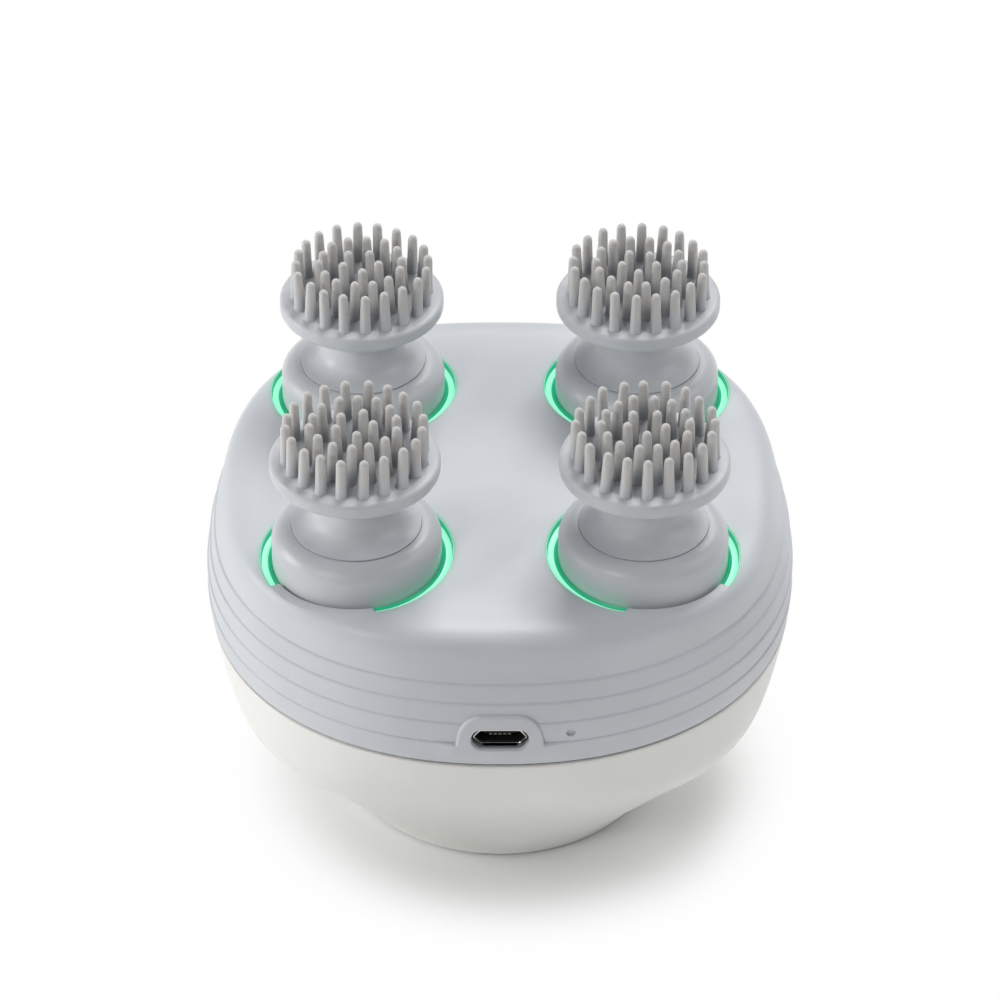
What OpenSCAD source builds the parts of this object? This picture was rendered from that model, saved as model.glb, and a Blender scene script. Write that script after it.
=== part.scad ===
// Electric scalp massager: four turning heads with soft bristles on a rounded,
// rechargeable hand piece that stands on its own foot.
// Frame: millimetres, +Z up, origin on the surface that it stands on, under the
// middle of the body. The charging socket faces -Y.

/* [Body] */
// Half of the body's width at its widest level
body_half = 42.4; // [42.2:0.1:43]
// Height of the joint line between the two shells
seam_z = 32.95; // [32.9:0.05:33.0]
// Height of the top shell's middle
top_z = 54.3; // [54.1:0.1:54.8]
// Radius of the foot of the lower shell
foot_r = 23.2; // [23:0.1:23.4]
// Wall of both shells
wall = 1.8; // [1.6:0.1:1.9]
// Depth of the decorative grooves around the top shell
groove_d = 0.35; // [0.2:0.05:0.5]

/* [Heads] */
// Distance between the axes of neighbouring heads
pitch = 40; // [39.8:0.1:40.1]
// Radius of a turning pod
pod_r = 11.9; // [11.8:0.1:12.1]
// Radius of the disc that carries the bristles
disc_r = 11.85; // [11.5:0.05:12.2]
// Height of the bristle tips
tip_z = 76.2; // [74:0.1:79]
// Radius of a bristle at its root
bristle_r = 0.84; // [0.7:0.02:0.94]
// Radius of a bristle at its tip
bristle_tip_r = 0.66; // [0.4:0.02:0.68]

/* [Drive] */
// Teeth of the central gear, a multiple of four
sun_teeth = 36; // [32:4:40]
// Teeth of each spindle gear
planet_teeth = 22; // [20:2:24]
// Radius of the spindles
spindle_r = 2.5; // [2.4:0.05:2.6]
// Travel of the power button
button_travel = 0.6; // [0.4:0.1:0.6]

/* [Hidden] */
$fn = 64;
eps = 0.01;
fit_gap = 0.05;          // radial clearance of every running fit

// ---- colours ----
shell_grey = [0.73, 0.74, 0.77];
pod_grey = [0.70, 0.71, 0.73];
silicone_grey = [0.66, 0.66, 0.66];
ivory = [0.90, 0.90, 0.88];
mint = [0.45, 0.95, 0.78];
plastic_dark = [0.20, 0.21, 0.23];
board_green = [0.10, 0.35, 0.22];
steel = [0.75, 0.76, 0.78];
bronze = [0.72, 0.55, 0.32];
gear_white = [0.88, 0.88, 0.82];

// ---- places of the four spindles: 1 rear right, 2 rear left, 3 front left, 4 front right ----
half_pitch = pitch / 2;
spindle_xy = [[1, 1], [-1, 1], [-1, -1], [1, -1]] * half_pitch;
spindle_azimuth = [45, 135, 225, 315];
head_turn = [-4, 4.4, 8.4, 0.3];          // how far each head stands turned
ring_start = [102, 158, 282, 338];        // where each light arc begins
ring_sweep = 280;

// ---- outer form: squircle rings [half-width, height, exponent] ----
segments = 64;
joint_gap = 0.4;
top_edge_z = seam_z + joint_gap / 2;
low_edge_z = seam_z - joint_gap / 2;
wide_z = 38.2;
band_top = 46.6;
band_curve_up = 0.0185;
band_curve_down = 0.0135;
groove_zs = [37.0, 40.5, 43.7, 46.55];
groove_w = 0.5;

function band_a(z) = body_half
  - (z > wide_z ? band_curve_up : band_curve_down) * pow(z - wide_z, 2);
function band_n(z) = 2.18 + 0.10 * (z - seam_z) / (band_top - seam_z);
function dome_n(z) = 2.28 + 0.42 * (z - band_top) / (top_z - band_top);

// cubic curve through control points, and the same curve moved inward by d
function bez(p, t) = pow(1 - t, 3) * p[0] + 3 * pow(1 - t, 2) * t * p[1]
  + 3 * (1 - t) * t * t * p[2] + pow(t, 3) * p[3];
function bez_dir(p, t) = 3 * pow(1 - t, 2) * (p[1] - p[0])
  + 6 * (1 - t) * t * (p[2] - p[1]) + 3 * t * t * (p[3] - p[2]);
function bez_in(p, t, d) = let (v = bez_dir(p, t)) bez(p, t) + d / norm(v) * [-v[1], v[0]];

shoulder_a = 34;
shoulder_z = top_z - 1.0;
band_slope = 2 * band_curve_up * (band_top - wide_z);
dome_curve = [
  [band_a(band_top), band_top],
  [band_a(band_top) - band_slope * 5.3, band_top + 5.3],
  [shoulder_a + 5.9, shoulder_z + 0.2],
  [shoulder_a, shoulder_z]
];
// the bowl widens almost straight up to its corners, which are squarest at knee_z
knee_z = 22.9;
knee_reach = 4.7;
bowl_curve = [
  [foot_r, 1.4],
  [foot_r + 6, 11.4],
  [body_half - 2.5, seam_z - 12.65],
  [band_a(low_edge_z), low_edge_z]
];
function bowl_n(z) = 2 + 0.18 * z / seam_z + 0.33 * sin(180 * z / seam_z)
  + 0.38 * exp(-pow((z - knee_z) / knee_reach, 2));

function squircle_r(a, n, t) = a / pow(pow(abs(cos(t)), n) + pow(abs(sin(t)), n), 1 / n);
function squircle(a, n) = [for (i = [0:segments - 1]) let (t = i * 360 / segments)
  squircle_r(a, n, t) * [cos(t), sin(t)]];
function ring_points(r) = [for (p = squircle(r[0], r[2])) [p[0], p[1], r[1]]];

// faces over a row of rings that have n points each, closed by a face at both ends
function skin(count, n) = concat(
  [for (j = [0:count - 2]) for (i = [0:n - 1]) let (k = (i + 1) % n)
    [j * n + i, (j + 1) * n + i, (j + 1) * n + k, j * n + k]],
  [[for (i = [0:n - 1]) i]],
  [[for (i = [n - 1:-1:0]) (count - 1) * n + i]]
);
// closed solid through a stack of rings; a cup's rings go up outside and down inside
module loft(rings) {
  polyhedron(points = [for (r = rings) each ring_points(r)], faces = skin(len(rings), segments),
    convexity = 6);
}

function groove_rings(z) = [
  [band_a(z - groove_w / 2), z - groove_w / 2, band_n(z)],
  [band_a(z) - groove_d, z, band_n(z)],
  [band_a(z + groove_w / 2), z + groove_w / 2, band_n(z)]
];
top_outer = concat(
  [[band_a(top_edge_z) - 0.4, top_edge_z, band_n(seam_z)],
   [band_a(top_edge_z + 0.4), top_edge_z + 0.4, band_n(seam_z)]],
  [for (z = groove_zs) each groove_rings(z)],
  [for (t = [0.12, 0.3, 0.45, 0.58, 0.7, 0.8, 0.9, 1]) let (p = bez(dome_curve, t))
    [p[0], p[1], dome_n(p[1])]],
  [for (a = [26, 16, 6]) [a, top_z - (top_z - shoulder_z) * pow(a / shoulder_a, 2), dome_n(top_z)]]
);
top_inner = concat(
  [for (z = [top_edge_z - 1, wide_z, 43.5]) [band_a(z) - wall, z, band_n(z)]],
  [for (t = [0.05, 0.4, 0.6, 0.8, 1]) let (p = bez_in(dome_curve, t, wall))
    [p[0], p[1], dome_n(p[1])]],
  [[14, top_z - wall - 0.2, dome_n(top_z)], [4, top_z - wall, dome_n(top_z)]]
);
bowl_outer = concat(
  [[foot_r - 0.9, 0.3, 2], [foot_r - 0.25, 0.65, 2]],
  [for (t = [0, 0.13, 0.26, 0.38, 0.49, 0.59, 0.68, 0.76, 0.83, 0.9, 0.95, 0.985]) let (p = bez(bowl_curve, t))
    [p[0], p[1], bowl_n(p[1])]],
  [[band_a(low_edge_z) - 0.25, low_edge_z, bowl_n(low_edge_z)]]
);
floor_z = 3.0;
bowl_inner = concat(
  [[band_a(low_edge_z) - wall, low_edge_z, bowl_n(low_edge_z)]],
  [for (t = [0.93, 0.85, 0.76, 0.66, 0.55, 0.43, 0.3, 0.15]) let (p = bez_in(bowl_curve, t, wall))
    [p[0], p[1], bowl_n(p[1])]],
  [[foot_r - wall, floor_z, 2]]
);

// ---- levels and sizes inside ----
pod_gap = 0.3;
hole_r = pod_r + pod_gap;
ring_in_r = 12.5;
ring_out_r = 13.6;
ring_top_z = 53.15;
well_floor_z = 50.0;
well_under_z = 48.4;
well_r = 16;
tower_r = 6.4;
tower_top_z = 51.0;
bush_r = 4.0;
seal_r = 5.4;
seal_z = 48.5;
plate_low = [33.0, 35.0];
plate_up = [44.0, 46.0];
led_board_z = [46.0, 47.2];
led_h = 0.9;
leg_r = 0.8;
leg_az = [70, 140, 210];                   // light legs along each arc
post_r = 3.0;
post_at = 27.0;
ear_at = 33.0;
base_screw_at = 11.6;
post_top_z = 7.0;
foot_ring_r = [12.6, 20.6];
foot_ring_h = 1.0;
button_r = 7.0;
button_hole_r = button_r + fit_gap;
button_flange_r = 8.0;
motor_r = 12.0;
motor_z = [10.2, 22.0];
gearbox_r = 12.2;
gearbox_screw_at = 9.0;
shaft_r = 3.0;
gear_z = [38.0, 42.0];
hub_z = [36.3, 43.7];
hub_r = 4.6;
pod_z = [50.5, 58.75];
nose_r = 2.4;                              // corner radius of the six-sided spindle nose
nose_top_z = 65.0;
core_r = 4.0;
core_disc_r = 8.5;
disc_top_z = 70.05;
neck_r = 5.4;
flare_r = 9.3;
cell_r = 7.1;
cell_x = 22.3;
cell_z = 24.3;
cell_half = 21.5;
control_z = [28.0, 29.2];
charge_z = [35.75, 36.95];
socket_z = 38.15;
socket_front_y = -41.9;
socket_back_y = -36.9;
indicator_x = 9.8;
indicator_z = 38.5;
switch_board_z = [6.4, 7.4];
switch_post_x = 9.9;

// ---- helpers ----
module at_spindles() {
  for (p = spindle_xy) translate([p[0], p[1], 0]) children();
}
module at_cross(d) {
  for (a = [0:90:270]) rotate([0, 0, a]) translate([d, 0, 0]) children();
}
module at_square(d) {
  for (x = [-d, d]) for (y = [-d, d]) translate([x, y, 0]) children();
}
// disc or tube between two heights
module puck(r, z) {
  translate([0, 0, z[0]]) cylinder(r = r, h = z[1] - z[0]);
}
module tube(ro, ri, z) {
  difference() {
    puck(ro, z);
    puck(ri, [z[0] - 1, z[1] + 1]);
  }
}
module box(x, y, z) {
  translate([x[0], y[0], z[0]]) cube([x[1] - x[0], y[1] - y[0], z[1] - z[0]]);
}
// part of a ring that starts at angle a0 and covers sweep degrees
module arc_ring(ri, ro, z, a0, sweep) {
  rotate([0, 0, a0]) rotate_extrude(angle = sweep)
    translate([ri, z[0]]) square([ro - ri, z[1] - z[0]]);
}
// square plate with round corners
module round_plate(half, r, z) {
  d = half - r;
  union() {
    box([-half, half], [-d, d], z);
    box([-d, d], [-half, half], z);
    at_square(d) puck(r, z);
  }
}
module stadium(w, h) {
  union() {
    translate([-(w - h) / 2, -h / 2]) square([w - h, h]);
    for (x = [-1, 1]) translate([x * (w - h) / 2, 0]) circle(d = h);
  }
}
// screw that points up: head below level z, shank above it
module screw_up(z, head_r, head_h, shank_r, length) {
  difference() {
    union() {
      puck(head_r, [z - head_h, z]);
      puck(shank_r, [z - eps, z + length]);
    }
    for (a = [0, 90]) rotate([0, 0, a])
      box([-head_r * 0.6, head_r * 0.6], [-0.2, 0.2], [z - head_h - 1, z - head_h + 0.5]);
  }
}
module screw_down(z, head_r, head_h, shank_r, length) {
  translate([0, 0, 2 * z]) mirror([0, 0, 1]) screw_up(z, head_r, head_h, shank_r, length);
}
// lead that runs through a list of points, with round bends
lead_sides = 10;
bend_cut = 0.4;
function bent(p) = concat([p[0]], [for (i = [1:len(p) - 2]) for (t = [0:0.25:1])
  let (a = p[i] + bend_cut * (p[i - 1] - p[i]), b = p[i] + bend_cut * (p[i + 1] - p[i]))
    pow(1 - t, 2) * a + 2 * t * (1 - t) * p[i] + t * t * b], [p[len(p) - 1]]);
function unit(v) = v / norm(v);
function directions(p) = [for (i = [0:len(p) - 1])
  unit(p[min(i + 1, len(p) - 1)] - p[max(i - 1, 0)])];
// sideways vectors carried along the route without twist
function carried(d, i, n) = i == len(d) ? [] : let (u = unit(n - (n * d[i]) * d[i]))
  concat([u], carried(d, i + 1, u));
module lead(points, r) {
  path = bent(points);
  d = directions(path);
  side = carried(d, 0, cross(d[0], [0.3, 0.5, 0.8]));
  rings = [for (i = [0:len(path) - 1]) for (k = [0:lead_sides - 1]) let (a = k * 360 / lead_sides)
    path[i] + r * (cos(a) * side[i] + sin(a) * cross(d[i], side[i]))];
  polyhedron(points = rings, faces = skin(len(path), lead_sides), convexity = 6);
}

// ---- gears: involute outlines ----
gear_module = 2 * half_pitch * sqrt(2) / (sun_teeth + planet_teeth);
pressure = 20;
backlash = 0.16;
deg = 180 / PI;
function inv(a) = tan(a) - a / deg;
function base_r(z) = gear_module * z / 2 * cos(pressure);
function half_tooth(z, r) = 90 / z - backlash / (gear_module * z) * deg / 2
  + (inv(pressure) - inv(acos(min(1, base_r(z) / r)))) * deg;
function gear_radii(z) = let (p = gear_module * z / 2)
  [p - 1.2 * gear_module, max(base_r(z), p - 0.8 * gear_module), p, p + 0.55 * gear_module,
   p + 0.95 * gear_module];
function flank(z, centre, side) = [for (r = gear_radii(z))
  let (a = centre + side * half_tooth(z, max(r, base_r(z)))) r * [cos(a), sin(a)]];
function reversed(list) = [for (i = [len(list) - 1:-1:0]) list[i]];
function gear_outline(z, start) = [for (k = [0:z - 1]) let (c = start + k * 360 / z)
  each concat(flank(z, c, -1), reversed(flank(z, c, 1)))];

// ---- shells ----
pad_top_z = 42.1;
pad_low_z = 36.6;
pad_half = 5.9;
pad_flare = 0.4;
pad_round = 2.4;
pad_face_y = -body_half - 0.45;
pad_face_r = 70;
module socket_pad() {
  intersection() {
    translate([0, -39, 0]) rotate([90, 0, 0]) linear_extrude(height = 6) union() {
      polygon([[-pad_half - pad_flare, pad_low_z], [pad_half + pad_flare, pad_low_z],
        [pad_half, pad_top_z - pad_round], [-pad_half, pad_top_z - pad_round]]);
      translate([-pad_half + pad_round, pad_top_z - 2 * pad_round])
        square([2 * (pad_half - pad_round), 2 * pad_round]);
      for (x = [-1, 1]) translate([x * (pad_half - pad_round), pad_top_z - pad_round])
        circle(r = pad_round);
    }
    translate([0, pad_face_y + pad_face_r, 0]) cylinder(r = pad_face_r, h = 60, $fn = 256);
  }
}
module socket_opening() {
  translate([0, -30, socket_z]) rotate([90, 0, 0]) linear_extrude(height = 20) stadium(8.1, 3.1);
  translate([0, pad_face_y + 0.5, socket_z]) rotate([90, 0, 0])
    linear_extrude(height = 2) stadium(8.4, 4.1);
}
module light_legs(i, z, r) {
  for (a = leg_az) rotate([0, 0, ring_start[i] + a])
    translate([(ring_in_r + ring_out_r) / 2, 0, 0]) puck(r, z);
}
module top_shell() {
  color(shell_grey) difference() {
    union() {
      loft(top_outer);
      socket_pad();
    }
    difference() {
      loft(top_inner);
      at_spindles() puck(well_r, [well_under_z, 60]);
      at_cross(ear_at) puck(post_r, [plate_up[1], 60]);
    }
    for (i = [0:3]) translate([spindle_xy[i][0], spindle_xy[i][1], 0]) {
      puck(hole_r, [well_floor_z, 60]);
      arc_ring(hole_r - 1, ring_out_r, [well_floor_z, 60], ring_start[i], ring_sweep);
      puck(tower_r + 0.15, [well_under_z - 1, 60]);
      light_legs(i, [well_under_z - 1, well_floor_z + 1], leg_r);
    }
    at_cross(ear_at) puck(1.1, [plate_up[1] - 1, plate_up[1] + 5.5]);
    socket_opening();
    translate([indicator_x, -30, indicator_z]) rotate([90, 0, 0]) cylinder(r = 0.62, h = 20);
  }
}
module lower_shell() {
  color(ivory) difference() {
    union() {
      loft(concat(bowl_outer, bowl_inner));
      at_square(base_screw_at) puck(3.4, [floor_z - 1, post_top_z]);
      for (x = [-1, 1]) translate([x * switch_post_x, 0, 0])
        puck(1.4, [floor_z - 1, switch_board_z[0]]);
    }
    tube(foot_ring_r[1] + 0.1, foot_ring_r[0] - 0.1, [-1, foot_ring_h]);
    puck(button_hole_r, [-1, floor_z + 1]);
    at_square(base_screw_at) {
      puck(2.6, [-1, 4.5]);
      puck(1.35, [4, post_top_z + 1]);
    }
    for (x = [-1, 1]) translate([x * switch_post_x, 0, 0]) puck(0.7, [4.0, 7]);
  }
}
module shell_gasket() {
  rim = band_a(seam_z);
  color(plastic_dark) translate([0, 0, low_edge_z]) linear_extrude(height = joint_gap) difference() {
    polygon(squircle(rim - 0.55, band_n(seam_z)));
    polygon(squircle(rim - wall, band_n(seam_z)));
  }
}
module foot_ring() {
  color(plastic_dark) tube(foot_ring_r[1], foot_ring_r[0], [0, foot_ring_h]);
}
module light_ring(i) {
  color(mint) translate([spindle_xy[i][0], spindle_xy[i][1], 0]) union() {
    arc_ring(ring_in_r, ring_out_r, [well_floor_z, ring_top_z], ring_start[i], ring_sweep);
    light_legs(i, [led_board_z[1] + led_h, well_floor_z + 0.5], leg_r);
  }
}

// ---- chassis ----
module upper_plate() {
  color(plastic_dark) difference() {
    union() {
      round_plate(33.5, 18.5, plate_up);
      at_cross(ear_at) puck(post_r, plate_up);
      at_spindles() puck(tower_r, [plate_up[0], tower_top_z]);
    }
    at_spindles() {
      puck(bush_r, [plate_up[0] - 1, seal_z]);
      puck(seal_r, [seal_z, tower_top_z + 1]);
    }
    puck(shaft_r + fit_gap, [plate_up[0] - 1, plate_up[1] + 1]);
    at_cross(ear_at) puck(1.1, [plate_up[0] - 1, plate_up[1] + 1]);
    at_cross(post_at) {
      puck(1.0, [plate_up[0] - 1, plate_up[1] + 1]);
      puck(2.2, [plate_up[1] - 1.3, plate_up[1] + 1]);
    }
  }
}
module lower_plate() {
  color(plastic_dark) difference() {
    union() {
      round_plate(34.5, 19, plate_low);
      box([-12, 12], [-38.1, -30.4], [plate_low[0], charge_z[0]]);
      at_spindles() puck(6, [plate_low[0] - 1.5, plate_low[1] + 1]);
      at_cross(post_at) puck(post_r, [plate_low[0], plate_up[0]]);
      at_square(base_screw_at) puck(3.2, [post_top_z, plate_low[1]]);
      for (y = [-12, 12]) translate([-30, y, 0]) puck(2, [control_z[1], plate_low[0] + 1]);
    }
    at_spindles() puck(bush_r, [plate_low[0] - 0.5, plate_low[1] + 2]);
    at_cross(post_at) puck(1.0, [plate_low[0] + 3, plate_up[0] + 1]);
    at_square(base_screw_at) puck(1.2, [post_top_z - 1, 17]);
    for (y = [-12, 12]) translate([-30, y, 0]) puck(0.7, [control_z[1] - 1, plate_low[0]]);
    for (x = [-6.8, 6.8]) translate([x, -32.2, 0]) puck(0.7, [plate_low[0] + 0.4, charge_z[0] + 1]);
    at_cross(gearbox_screw_at) rotate([0, 0, 45]) puck(1.0, plate_low + [-1, 1]);
    puck(4.5, plate_low + [-1, 1]);
  }
}
module upper_bushes() {
  color(bronze) at_spindles() tube(bush_r, spindle_r + fit_gap, [plate_up[0], seal_z]);
}
module lower_bushes() {
  color(bronze) at_spindles()
    tube(bush_r, spindle_r + fit_gap, [plate_low[0] - 0.5, plate_low[1] + 1]);
}
module shaft_seals() {
  color(plastic_dark) at_spindles() tube(seal_r, spindle_r + fit_gap, [seal_z, tower_top_z - 0.2]);
}
module chassis_screws() {
  color(steel) at_cross(post_at) screw_down(plate_up[1] - 1.3, 2.1, 1.3, 1.0, 8);
}
module shell_screws() {
  color(steel) at_cross(ear_at) screw_up(plate_up[0], 2.1, 1.3, 1.1, 7);
}
module base_screws() {
  color(steel) at_square(base_screw_at) screw_up(4.5, 2.4, 1.7, 1.2, 12);
}
module gearbox_screws() {
  color(steel) at_cross(gearbox_screw_at) screw_down(plate_low[1], 1.8, 1.0, 1.0, 5);
}
module board_screws() {
  color(steel) {
    for (y = [-12, 12]) translate([-30, y, 0]) screw_up(control_z[0], 1.5, 0.9, 0.7, 4);
    for (x = [-6.8, 6.8]) translate([x, -32.2, 0]) screw_down(charge_z[1], 1.5, 0.9, 0.7, 2.6);
    for (x = [-1, 1]) translate([x * switch_post_x, 0, 0])
      screw_down(switch_board_z[1], 1.3, 0.8, 0.7, 3);
  }
}

// ---- motor and gearbox ----
module gearbox_case() {
  color([0.86, 0.86, 0.84]) difference() {
    puck(gearbox_r, [motor_z[1], plate_low[0]]);
    puck(shaft_r + fit_gap, [29, plate_low[0] + 1]);
    at_cross(gearbox_screw_at) puck(1.0, [plate_low[1] - 5, plate_low[0] + 1]);
  }
}
module motor_can() {
  color(steel) union() {
    puck(motor_r, motor_z);
    puck(motor_r + 0.15, [motor_z[1] - 1.2, motor_z[1]]);
  }
}
module motor_endcap() {
  color(plastic_dark) union() {
    puck(11.2, [motor_z[0] - 0.8, motor_z[0]]);
    for (y = [-1, 1]) box([-0.9, 0.9], [y * 7 - 0.25, y * 7 + 0.25], [motor_z[0] - 1.9, motor_z[0] - 0.5]);
  }
}
module output_shaft() {
  color(steel) puck(shaft_r, [29.1, plate_up[0] + 1.2]);
}
module sun_gear() {
  color(gear_white) difference() {
    union() {
      translate([0, 0, gear_z[0]]) linear_extrude(height = gear_z[1] - gear_z[0])
        polygon(gear_outline(sun_teeth, spindle_azimuth[0]));
      puck(6, [plate_low[1] + 0.4, plate_up[0] - 0.3]);
    }
    puck(shaft_r, [30, 50]);
    for (a = [0:60:300]) rotate([0, 0, a]) translate([11, 0, 0]) puck(2.8, [30, 50]);
  }
}

// ---- battery and electronics ----
module battery_cell() {
  color([0.20, 0.45, 0.75]) translate([cell_x, cell_half, cell_z]) rotate([90, 0, 0]) union() {
    cylinder(r = cell_r, h = 2 * cell_half);
    translate([0, 0, 2 * cell_half]) cylinder(r = 2.6, h = 0.8);
  }
}
module battery_cradle() {
  color(plastic_dark) difference() {
    union() {
      box([cell_x - 7.1, cell_x + 7.9], [-13.5, 13.5], [26.5, plate_low[0]]);
      box([cell_x - 7.9, cell_x + 7.9], [-5, 5], [20.5, plate_low[0]]);
    }
    translate([cell_x, 30, cell_z]) rotate([90, 0, 0]) cylinder(r = cell_r, h = 60);
  }
}
module control_board() {
  color(board_green) difference() {
    box([-33, -15.4], [-16, 16], control_z);
    for (y = [-12, 12]) translate([-30, y, 0]) puck(0.7, [27, 31]);
  }
}
module control_chips() {
  color(plastic_dark) {
    box([-26, -19], [-3.5, 3.5], [control_z[1], 30.4]);
    box([-25, -19], [6, 12], [control_z[1], 30.9]);
    box([-25, -21], [-11, -6], [control_z[1], 30.2]);
    box([-31, -25], [-3, 3], [25.2, control_z[0]]);
    box([-22, -17], [5, 12], [25.0, control_z[0]]);
    box([-22, -17], [-12, -5], [25.0, control_z[0]]);
  }
}
module led_board() {
  color(board_green) difference() {
    intersection() {
      union() {
        box([-half_pitch, half_pitch], [-half_pitch, half_pitch], led_board_z);
        at_spindles() puck(14.9, led_board_z);
      }
      round_plate(33.5, 18.5, led_board_z);
    }
    at_spindles() puck(tower_r + 0.15, [40, 50]);
  }
}
module status_leds() {
  color("white") {
    for (i = [0:3]) translate([spindle_xy[i][0], spindle_xy[i][1], 0])
      for (a = leg_az) rotate([0, 0, ring_start[i] + a])
        translate([(ring_in_r + ring_out_r) / 2, 0, 0])
          box([-0.8, 0.8], [-1.4, 1.4], [led_board_z[1], led_board_z[1] + led_h]);
    box([indicator_x - 1, indicator_x + 1], [-37.9, -36.5], [charge_z[1], indicator_z + 0.8]);
  }
}
module charge_board() {
  color(board_green) difference() {
    box([-11, 11.6], [-38.1, -30.6], charge_z);
    for (x = [-6.8, 6.8]) translate([x, -32.2, 0]) puck(0.7, [30, 40]);
  }
}
// six-sided outline of the charging socket's metal shell, moved inward by d
function socket_outline(d) = [
  [-2.9 + d * 0.5, 1.2 - d], [-3.75 + d, 0.05], [-3.75 + d, -0.15], [-2.85 + d * 0.5, -1.2 + d],
  [2.85 - d * 0.5, -1.2 + d], [3.75 - d, -0.15], [3.75 - d, 0.05], [2.9 - d * 0.5, 1.2 - d]
];
module socket_shell() {
  color(steel) translate([0, socket_back_y, socket_z]) rotate([90, 0, 0]) union() {
    linear_extrude(height = socket_back_y - socket_front_y) difference() {
      polygon(socket_outline(0));
      polygon(socket_outline(0.22));
    }
    linear_extrude(height = 0.6) polygon(socket_outline(0));
  }
}
module socket_tongue() {
  color([0.08, 0.08, 0.09]) box([-2.4, 2.4], [socket_front_y + 0.7, socket_back_y - 0.6],
    [socket_z + 0.15, socket_z + 0.65]);
}
module indicator_pipe() {
  color("white") translate([indicator_x, -37.9, indicator_z]) rotate([90, 0, 0])
    cylinder(r = 0.62, h = 2.9);
}
module switch_board() {
  color(board_green) difference() {
    box([-11.4, 11.4], [-5, 5], switch_board_z);
    for (x = [-1, 1]) translate([x * switch_post_x, 0, 0]) puck(0.7, [5, 9]);
  }
}
plunger_r = 1.5;
plunger_z = [3.9, 5.5];
module switch_body() {
  color(steel) difference() {
    box([-3, 3], [-3, 3], [4.6, switch_board_z[0]]);
    puck(plunger_r + fit_gap, [4, plunger_z[1] + button_travel + 0.1]);
  }
}
module switch_plunger() {
  color(plastic_dark) puck(plunger_r, plunger_z);
}
module power_button() {
  color(shell_grey) difference() {
    union() {
      puck(button_r, [0.5, floor_z + 0.2]);
      puck(button_flange_r, [floor_z, floor_z + 0.5]);
      puck(plunger_r, [floor_z, plunger_z[0]]);
    }
    translate([0, 0, -19.1]) sphere(r = 20, $fn = 128);
  }
}
lead_r = 0.55;
module power_leads() {
  color([0.75, 0.15, 0.12]) {
    lead([[cell_x, 22.2, cell_z], [cell_x - 2, 25.5, 26.2], [12, 28.5, 27], [-12, 28.5, 27],
      [-19.5, 20, 27], [-19.5, 12.3, 26.5]], lead_r);
    lead([[-1, 7, 8.0], [-9.5, 7, 8.3], [-15.2, 6.4, 9.9], [-18.5, 6, 22], [-18.5, 7, 24.4]], lead_r);
    lead([[-1, -7, 8.0], [-9.5, -7, 8.3], [-15.2, -6.4, 9.9], [-18.5, -6, 22], [-18.5, -7, 24.4]], lead_r);
  }
}
module signal_leads() {
  color([0.85, 0.85, 0.85]) {
    lead([[-10.8, 2, 8.0], [-15.6, 2, 10.5], [-17.4, 1.4, 20], [-27, 0.5, 24.6]], lead_r);
    lead([[-34.1, 9.2, 46.6], [-37, 8.8, 44], [-36.8, 8.2, 32], [-33.6, 7.6, 28.6]], lead_r);
    lead([[-11.6, -36.9, 36.35], [-13.4, -36.9, 36.1], [-14.4, -36.6, 33.4], [-18, -34, 30.6], [-24.6, -26, 29.2],
      [-24, -16.6, 28.6]], lead_r);
  }
}

// ---- spindles, pods and heads ----
module spindle(i) {
  color(steel) translate([spindle_xy[i][0], spindle_xy[i][1], 0]) rotate([0, 0, head_turn[i]])
    union() {
      puck(spindle_r, [plate_low[0] - 0.4, pod_z[1] + 0.15]);
      translate([0, 0, pod_z[1]]) cylinder(r = nose_r, h = nose_top_z - pod_z[1], $fn = 6);
    }
}
module planet_gear(i) {
  color(gear_white) translate([spindle_xy[i][0], spindle_xy[i][1], 0]) difference() {
    union() {
      translate([0, 0, gear_z[0]]) linear_extrude(height = gear_z[1] - gear_z[0])
        polygon(gear_outline(planet_teeth, spindle_azimuth[i] + 180 + 180 / planet_teeth));
      puck(hub_r, hub_z);
    }
    puck(spindle_r, [30, 50]);
  }
}
pod_round = 2.5;
module pod(i) {
  edge_z = pod_z[1] - pod_round;
  color(pod_grey) translate([spindle_xy[i][0], spindle_xy[i][1], 0]) difference() {
    rotate_extrude() union() {
      translate([0, pod_z[0]]) square([pod_r, edge_z - pod_z[0]]);
      translate([0, edge_z - eps]) square([pod_r - pod_round, pod_round + eps]);
      translate([pod_r - pod_round, edge_z]) intersection() {
        circle(r = pod_round);
        square(pod_round);
      }
    }
    tube(pod_r - 1.5, 4.4, [pod_z[0] - 1, pod_z[1] - 1.7]);
    puck(4.5, [pod_z[0] - 1, tower_top_z + 0.6]);
    puck(spindle_r, [40, 70]);
  }
}
module head_core(i) {
  color([0.9, 0.9, 0.9]) translate([spindle_xy[i][0], spindle_xy[i][1], 0]) rotate([0, 0, head_turn[i]])
    difference() {
      union() {
        puck(core_r, [pod_z[1], 68.4]);
        puck(core_disc_r, [68.0, 69.0]);
      }
      translate([0, 0, pod_z[1] - 1])
        cylinder(r = nose_r + 0.08, h = nose_top_z + 1.3 - pod_z[1], $fn = 6);
      puck(spindle_r + 0.1, [pod_z[1] - 1, pod_z[1] + 0.3]);
    }
}
rings_of_bristles = [[9.5, 20, 0], [6.05, 14, 1], [2.62, 5, 55]];   // radius, count, turn
module bristle() {
  union() {
    translate([0, 0, disc_top_z - 0.2])
      cylinder(r1 = bristle_r, r2 = bristle_tip_r, h = tip_z - bristle_tip_r - disc_top_z + 0.2, $fn = 24);
    translate([0, 0, tip_z - bristle_tip_r]) sphere(r = bristle_tip_r, $fn = 24);
  }
}
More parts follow.
